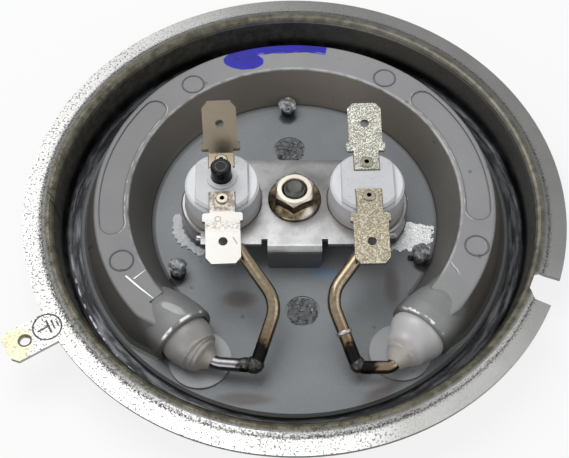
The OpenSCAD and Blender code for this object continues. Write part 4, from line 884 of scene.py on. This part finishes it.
# %% Raised flash lines
def flash_line(name, points, width, height, z, finish):
    """A thin raised line through points in mm, standing on the height z."""
    (x, y), (x1, y1) = points[0], points[1]
    fresh()
    bpy.ops.mesh.primitive_plane_add(size=width * MM, location=mm(x, y, z),
                                     rotation=(pi / 2, 0, atan2(y1 - y, x1 - x) + pi / 2))
    edit()
    bpy.ops.transform.resize(value=(1, 1, 2 * height / width), center_override=mm(x, y, z))
    for (xa, ya), (xb, yb) in zip(points, points[1:]):
        rise(hypot(xb - xa, yb - ya), (xb - xa, yb - ya, 0))
    bpy.ops.transform.resize(value=(0.4, 0.4, 0.4), center_override=mm(*points[-1], z))
    return done(name, finish, smooth=60)


flash_line("flash_left", [(-30.5, -17.3), (-27.9, -19.7), (-25.2, -21.9)], 0.32, 0.16, RIDGE_TOP,
           BRIGHT_EDGE)
flash_line("flash_left_branch", [(-29.0, -17.9), (-27.1, -16.1)], 0.24, 0.12, RIDGE_TOP,
           BRIGHT_EDGE)
flash_line("flash_right", [(28.3, -14.5), (28.7, -15.4), (29.2, -16.0), (29.7, -17.2)], 0.28, 0.16,
           RIDGE_TOP, BRIGHT_EDGE)

# %% [markdown]
# ## Dried paste and torn film
# White heat paste has dried in a ragged arc round the left cut-out, and a silvery film has torn
# at the right one. A fine grid is laid on the floor, all faces outside the stain's outline are
# deleted, and what is left gets a little thickness and an uneven top.

# %% Paste round the left cut-out, film beside the right one
def crust(name, centre, size, cells, keep, thickness, unevenness, seed, finish, z=2.08,
          smooth=60):
    """A thin crust on the floor, cut from a grid by the test keep(x, y)."""
    fresh()
    bpy.ops.mesh.primitive_grid_add(x_subdivisions=cells, y_subdivisions=cells, size=size * MM,
                                    location=mm(*centre, z))
    edit()
    pick(lambda middle, normal: not keep(middle.x, middle.y))
    bpy.ops.mesh.delete(type="FACE")
    bpy.ops.mesh.select_all(action="SELECT")
    bpy.ops.mesh.vertices_smooth(factor=0.5, repeat=3)
    rise(thickness)
    rough_up(unevenness, seed)
    return done(name, finish, smooth=smooth)


def wavy(x, y):
    """A repeatable ragged offset between about -1 and 1."""
    return (sin(2.9 * x + 1.7 * y) + sin(4.3 * y - 3.1 * x + 1) + 0.7 * sin(7.9 * x + 6.1 * y)) / 2.4


def on_paste(x, y):
    away, turn = hypot(x + 13.45, y), atan2(y, x + 13.45) * 180 / pi % 360
    edge = 10.0 + 0.45 * wavy(x, y) + 0.4 * sin(radians(4 * turn))
    inner = 8.15 + 0.3 * max(0, wavy(x + 3, y - 2))
    return 177 + 4 * wavy(x, y) < turn < 247 + 3 * wavy(y, x) and inner < away < edge


def on_film(x, y):
    tear = 27.2 + 0.9 * wavy(0.8 * x, y) - 0.3 * max(0, -y - 2)
    return (-7.6 - 0.35 * wavy(x, 0) < y < -0.6 - 0.22 * (x - 20) + 0.2 * wavy(x, 3)
            and hypot(x - 13.45, y) > 8.1 and x < tear and hypot(x - 23.6, y + 9.6) > 1.9)


crust("dried_paste", (-19.5, -4.5), 14, 80, on_paste, 0.22, 0.1, 11, PASTE)
crust("torn_film", (23.5, -4.0), 12, 72, on_film, 0.09, 0.04, 6, FILM)

# %% [markdown]
# ## Gate scars
# Two round scars in the floor show where the mould was filled. The skin there is dark, cracked
# and half glassy. The same way of cutting a grid fills each dimple with a crumpled patch that
# stays under the floor, so it reads as sunken.

# %% Cracked gate scars
for name, spot, seed in (("gate_scar_rear", (-0.85, 16.2), 4), ("gate_scar_front", (1.4, -20.5), 9)):
    crust(name, spot, 6.6, 17, lambda x, y: hypot(x - spot[0], y - spot[1]) < 3.1, 0.16, 0.24,
          seed, SCAR, z=1.82, smooth=20)

# %% [markdown]
# ## Bracket prongs
# The fork ends of the clamp bracket are bent down round the flange of each cut-out. From the
# front two bright ends stand beside the blades. A small plate is extruded along and then down.

# %% Prongs at the fork ends
for name, side, x, y in (("prong_left", -1, -17.4, -8.7), ("prong_right", 1, 17.9, -8.2)):
    fresh()
    bpy.ops.mesh.primitive_plane_add(size=0.8 * MM, location=mm(x, y + 0.5, 8.35),
                                     rotation=(0, 0, radians(-side * 12)))
    edit()
    bpy.ops.transform.resize(value=(1.9, 0.8, 1), center_override=mm(x, y + 0.5, 8.35))
    rise(0.55, (0, 0, -1))
    pick(lambda middle, normal: normal.y < -0.8)
    rise(0.7, (0, -1, -0.35))
    rise(0.6, (0, -0.55, -1))
    rise(0.9, (0, -0.1, -1))
    bpy.ops.mesh.select_all(action="SELECT")
    bpy.ops.mesh.bevel(offset=0.1 * MM, segments=2, affect="EDGES")
    done(name, FINISHES["bracket_aluminium"])

# %% [markdown]
# ## Weld beads and burnt corners
# Each pin has a blackened bead at its low corner, where it has run hot, and the right one has a
# pale ring half way up. The beads are ico spheres, stretched along the wire and roughened.

# %% Beads on the cold pins
def bead(name, place, radius, stretch, unevenness, seed, finish):
    fresh()
    bpy.ops.mesh.primitive_ico_sphere_add(subdivisions=4, radius=radius * MM, location=mm(*place))
    edit()
    bpy.ops.transform.resize(value=stretch, center_override=mm(*place))
    rough_up(unevenness, seed)
    bpy.ops.mesh.vertices_smooth(factor=0.5, repeat=1)
    return done(name, finish, smooth=80)


bead("burnt_bead_left", (-7.2, -32.9, 5.35), 1.6, (1.05, 1.0, 0.95), 0.3, 7, BURNT)
bead("burnt_bead_left_small", (-8.9, -32.8, 5.3), 1.3, (1.3, 0.95, 0.95), 0.2, 3,
     BURNT)
bead("burnt_bead_right", (10.9, -32.9, 5.4), 1.42, (1.0, 1.15, 0.95), 0.06, 5, BURNT)

RING_AT, PIN_RUN = Vector((8.6, -27.8, 7.6)), Vector((-4.8, 11.6, 5.0))
tilt = PIN_RUN.to_track_quat("Z", "Y").to_euler()
fresh()
bpy.ops.mesh.primitive_torus_add(major_segments=36, minor_segments=10, major_radius=0.98 * MM,
                                 minor_radius=0.5 * MM, location=mm(*RING_AT), rotation=tilt)
edit()
rough_up(0.06, 4)
done("pale_ring_right", PALE_METAL, smooth=70)

# %% [markdown]
# ## The seals and the left pin
# The seals are soft, fitted by hand, and stand a little askew. A disc in the boss's pocket is
# extruded in steps that each change its radius, and turned on the way by spinning its end.
# The left pin leaves its crooked seal higher than drawn, so it is bent again to suit: straight
# runs are extruded and the bends are spun, as on a bending bench.

# %% Seals that stand a little askew
def seal(name, node, start, heading, stations, seed, rounds):
    """A closed round body from (length, radius, turn) stations; turn is in degrees, to the left."""
    direction = Vector((cos(radians(heading)), sin(radians(heading)), 0.0))
    place = Vector(start) * MM
    fresh()
    bpy.ops.mesh.primitive_circle_add(vertices=40, radius=stations[0][1] * MM, fill_type="NGON",
                                      location=place,
                                      rotation=direction.to_track_quat("Z", "Y").to_euler())
    edit()
    radius = stations[0][1]
    for length, wanted, turn in stations[1:]:
        if turn:
            after = direction.copy()
            after.rotate(Matrix.Rotation(radians(turn), 3, "Z"))
            spin_r = length / radians(abs(turn))
            bend(place, direction, after, spin_r)
            inward = (after - direction * direction.dot(after)).normalized()
            centre = place + inward * spin_r * MM
            place = centre + (place - centre).normalized() @ Matrix.Rotation(
                -radians(turn), 3, "Z") * spin_r * MM
            direction = after
        elif length:
            rise(length, direction)
            place = place + direction * length * MM
        factor = wanted / radius
        bpy.ops.transform.resize(value=(factor, factor, factor), center_override=place)
        radius = wanted
    bpy.ops.mesh.select_all(action="SELECT")
    rough_up(0.07, seed)
    bpy.ops.mesh.vertices_smooth(factor=0.5, repeat=rounds)
    bpy.ops.mesh.bisect(plane_co=mm(0, 0, 1.6), plane_no=(0, 0, 1), use_fill=True,
                        clear_inner=True)
    piece = done(name, FINISHES["white_silicone"], smooth=50)
    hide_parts(node)
    return piece, place, direction


LEFT_SEAL = [(0, 4.85, 0), (1.5, 4.85, 0), (0.6, 4.85, 0), (0.9, 4.78, 0), (1.0, 4.5, 0),
             (0.9, 4.05, 0), (0.7, 3.55, 5), (0.6, 3.1, 9), (0.12, 3.2, 0), (0.25, 3.3, 0),
             (0.25, 3.2, 0), (0.08, 2.75, 0), (0.25, 2.35, 0), (0.45, 2.0, 0), (0.5, 1.62, 0),
             (0.5, 1.42, 0), (0.15, 1.28, 0)]
RIGHT_SEAL = [(0, 4.95, 0), (1.5, 4.95, 0), (0.05, 5.35, 0), (0.8, 5.35, 0), (0.9, 5.1, 0),
              (0.8, 4.6, 0), (0.7, 4.15, 0), (0.6, 3.95, 0), (0.5, 3.95, 0), (0.5, 3.7, 0),
              (0.35, 3.3, 0), (0.25, 3.0, 0), (0.12, 3.05, 0), (0.25, 3.0, 0), (0.1, 2.5, 0),
              (0.4, 2.35, 0), (0.5, 2.1, 0), (0.5, 1.75, 0), (0.5, 1.42, 0), (0.15, 1.28, 0)]
BACK = 1.5
LEFT_MOUTH, RIGHT_MOUTH = (-19.7, -27.3, 4.9), (22.2, -26.42, 4.9)
LEFT_HEADING, RIGHT_HEADING = -50.0, -128.0


def behind(mouth, heading, distance):
    return (mouth[0] - distance * cos(radians(heading)), mouth[1] - distance * sin(radians(heading)),
            mouth[2])


_, neck_left, heading_left = seal("seal_left", "end_seal_left",
                                  behind(LEFT_MOUTH, LEFT_HEADING, BACK), LEFT_HEADING, LEFT_SEAL, 2, 3)
_, neck_right, _ = seal("seal_right", "end_seal_right",
                        behind(RIGHT_MOUTH, RIGHT_HEADING, BACK), RIGHT_HEADING, RIGHT_SEAL, 5, 1)
print("necks in mm:", [round(v / MM, 1) for v in (*neck_left, *neck_right)])


# %% The left pin, bent again to meet its seal
def wire(name, points, radii, thickness, node, finish):
    """A round wire through corner points in mm, with its bends spun to the given radii."""
    corners = [Vector(point) for point in points]
    runs = [(b - a).normalized() for a, b in zip(corners, corners[1:])]
    trims = [0.0] + [r * tan(u.angle(v) / 2) for r, u, v in zip(radii, runs, runs[1:])] + [0.0]
    fresh()
    bpy.ops.mesh.primitive_circle_add(vertices=24, radius=thickness * MM, fill_type="NGON",
                                      location=mm(*corners[0]),
                                      rotation=runs[0].to_track_quat("Z", "Y").to_euler())
    edit()
    for i, run in enumerate(runs):
        rise((corners[i + 1] - corners[i]).length - trims[i] - trims[i + 1], run)
        if i < len(radii):
            bend((corners[i + 1] - run * trims[i + 1]) * MM, run, runs[i + 1], radii[i])
    piece = done(name, finish, smooth=50)
    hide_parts(node)
    return piece


PIN_R = 1.2
wire("pin_left", [behind(LEFT_MOUTH, LEFT_HEADING, 12), behind(LEFT_MOUTH, LEFT_HEADING, -1.2),
                  tuple(neck_left / MM + heading_left * 0.2 + Vector((0, 0, 0.1))),
                  (-7.0, -33.15, 5.2), (-3.2, -23.2, 10.2), (-10.3, -13.2, 12.69)],
     [8.0, 4.0, 2.0, 6.0], PIN_R, "cold_pin_left", FINISHES["pin_steel"])

# %% [markdown]
# ## The button's ring
# The reset button has a polished rim on its top. It is a flattened torus that rides on the
# button, so it goes down with it when the button is pressed.

# %% Ring on the button
BUTTON_AT = (-13.477, 0.599, 18.5)
fresh()
bpy.ops.mesh.primitive_torus_add(major_segments=40, minor_segments=8, major_radius=1.05 * MM,
                                 minor_radius=0.09 * MM, location=mm(*BUTTON_AT))
edit()
bpy.ops.transform.resize(value=(1, 1, 0.6), center_override=mm(*BUTTON_AT))
done("button_ring", BUTTON_RIM, body="button", smooth=60)

# %% [markdown]
# ## The floor, the lamps and the camera
# A pale floor and a white world stand for the photo studio. The camera was fitted to the
# round rim, the ridge and the M4 nut, so it looks down at about 58 degrees. A large lamp at
# the upper left makes the left of the flange nearly white, as in the photograph.

# %% Camera at the photograph's angle
EYE = Vector((-1.90, -120.74, 188.0)) * MM
AIM = Vector((-1.90, -6.59, 8.4)) * MM
camera = bpy.data.objects.new("camera", bpy.data.cameras.new("camera"))
bpy.context.scene.collection.objects.link(camera)
camera.data.lens = 72.46
camera.data.sensor_width = 36.0
camera.location = EYE
turn = (AIM - EYE).to_track_quat("-Z", "Y").to_matrix().to_4x4()
camera.matrix_world = Matrix.Translation(EYE) @ turn @ Matrix.Rotation(radians(-0.11), 4, "Z")
bpy.context.scene.camera = camera


# %% Lamps and world
def background_seen(tree):
    """One for the camera's rays and for those that a metal or a clear piece sends on."""
    path, total = tree.nodes.new("ShaderNodeLightPath"), 0.0
    for kind in ("Is Camera Ray", "Is Glossy Ray", "Is Transmission Ray"):
        add = tree.nodes.new("ShaderNodeMath")
        add.use_clamp = True
        if total:
            tree.links.new(total, add.inputs[0])
        else:
            add.inputs[0].default_value = 0.0
        tree.links.new(path.outputs[kind], add.inputs[1])
        total = add.outputs[0]
    return total


def lamp(name, place, aim, size, watts, tint=(1.0, 1.0, 1.0)):
    """A square area lamp, places and size in mm."""
    data = bpy.data.lights.new(name, "AREA")
    data.size = size * MM
    data.energy = watts
    data.color = tint
    light = bpy.data.objects.new(name, data)
    bpy.context.scene.collection.objects.link(light)
    place, aim = Vector(place) * MM, Vector(aim) * MM
    light.matrix_world = Matrix.Translation(place) @ (
        (aim - place).to_track_quat("-Z", "Y").to_matrix().to_4x4())
    return light


lamp("key_upper_left", (-92, 98, 270), (0, 0, 0), 230, 0.62)
lamp("fill_right", (240, -60, 180), (0, 0, 0), 200, 0.16)
lamp("front_left", (-120, -260, 140), (0, 0, 0), 180, 0.26)

world = bpy.data.worlds.new("studio")
bpy.context.scene.world = world
world.use_nodes = True
sky = world.node_tree
plain = sky.nodes["Background"]
plain.inputs["Color"].default_value = (0.80, 0.82, 0.85, 1.0)
plain.inputs["Strength"].default_value = 0.27
white = sky.nodes.new("ShaderNodeBackground")
white.inputs["Color"].default_value = (1.0, 1.0, 1.0, 1.0)
white.inputs["Strength"].default_value = 1.0
choose = sky.nodes.new("ShaderNodeMixShader")
sky.links.new(background_seen(sky), choose.inputs[0])
sky.links.new(plain.outputs[0], choose.inputs[1])
sky.links.new(white.outputs[0], choose.inputs[2])
sky.links.new(choose.outputs[0], sky.nodes["World Output"].inputs["Surface"])
bpy.context.scene.view_settings.view_transform = "Standard"

# %% Floor
bpy.ops.object.select_all(action="DESELECT")
bpy.ops.mesh.primitive_plane_add(size=3.0, location=(0, 0, -0.0002))
floor = bpy.context.object
floor.name = "studio_floor"
pale = bpy.data.materials.new("pale_floor")
pale.use_nodes = True
nodes, links = pale.node_tree.nodes, pale.node_tree.links
nodes["Principled BSDF"].inputs["Base Color"].default_value = (0.85, 0.85, 0.85, 1.0)
nodes["Principled BSDF"].inputs["Roughness"].default_value = 0.9
glow = nodes.new("ShaderNodeEmission")
glow.inputs["Color"].default_value = (1.0, 1.0, 1.0, 1.0)
seen = nodes.new("ShaderNodeMath")
seen.operation = "MULTIPLY"
seen.inputs[1].default_value = 0.82
mixed = nodes.new("ShaderNodeMixShader")
links.new(background_seen(pale.node_tree), seen.inputs[0])
links.new(seen.outputs[0], mixed.inputs[0])
links.new(nodes["Principled BSDF"].outputs[0], mixed.inputs[1])
links.new(glow.outputs[0], mixed.inputs[2])
links.new(mixed.outputs[0], nodes["Material Output"].inputs["Surface"])
floor.data.materials.append(pale)
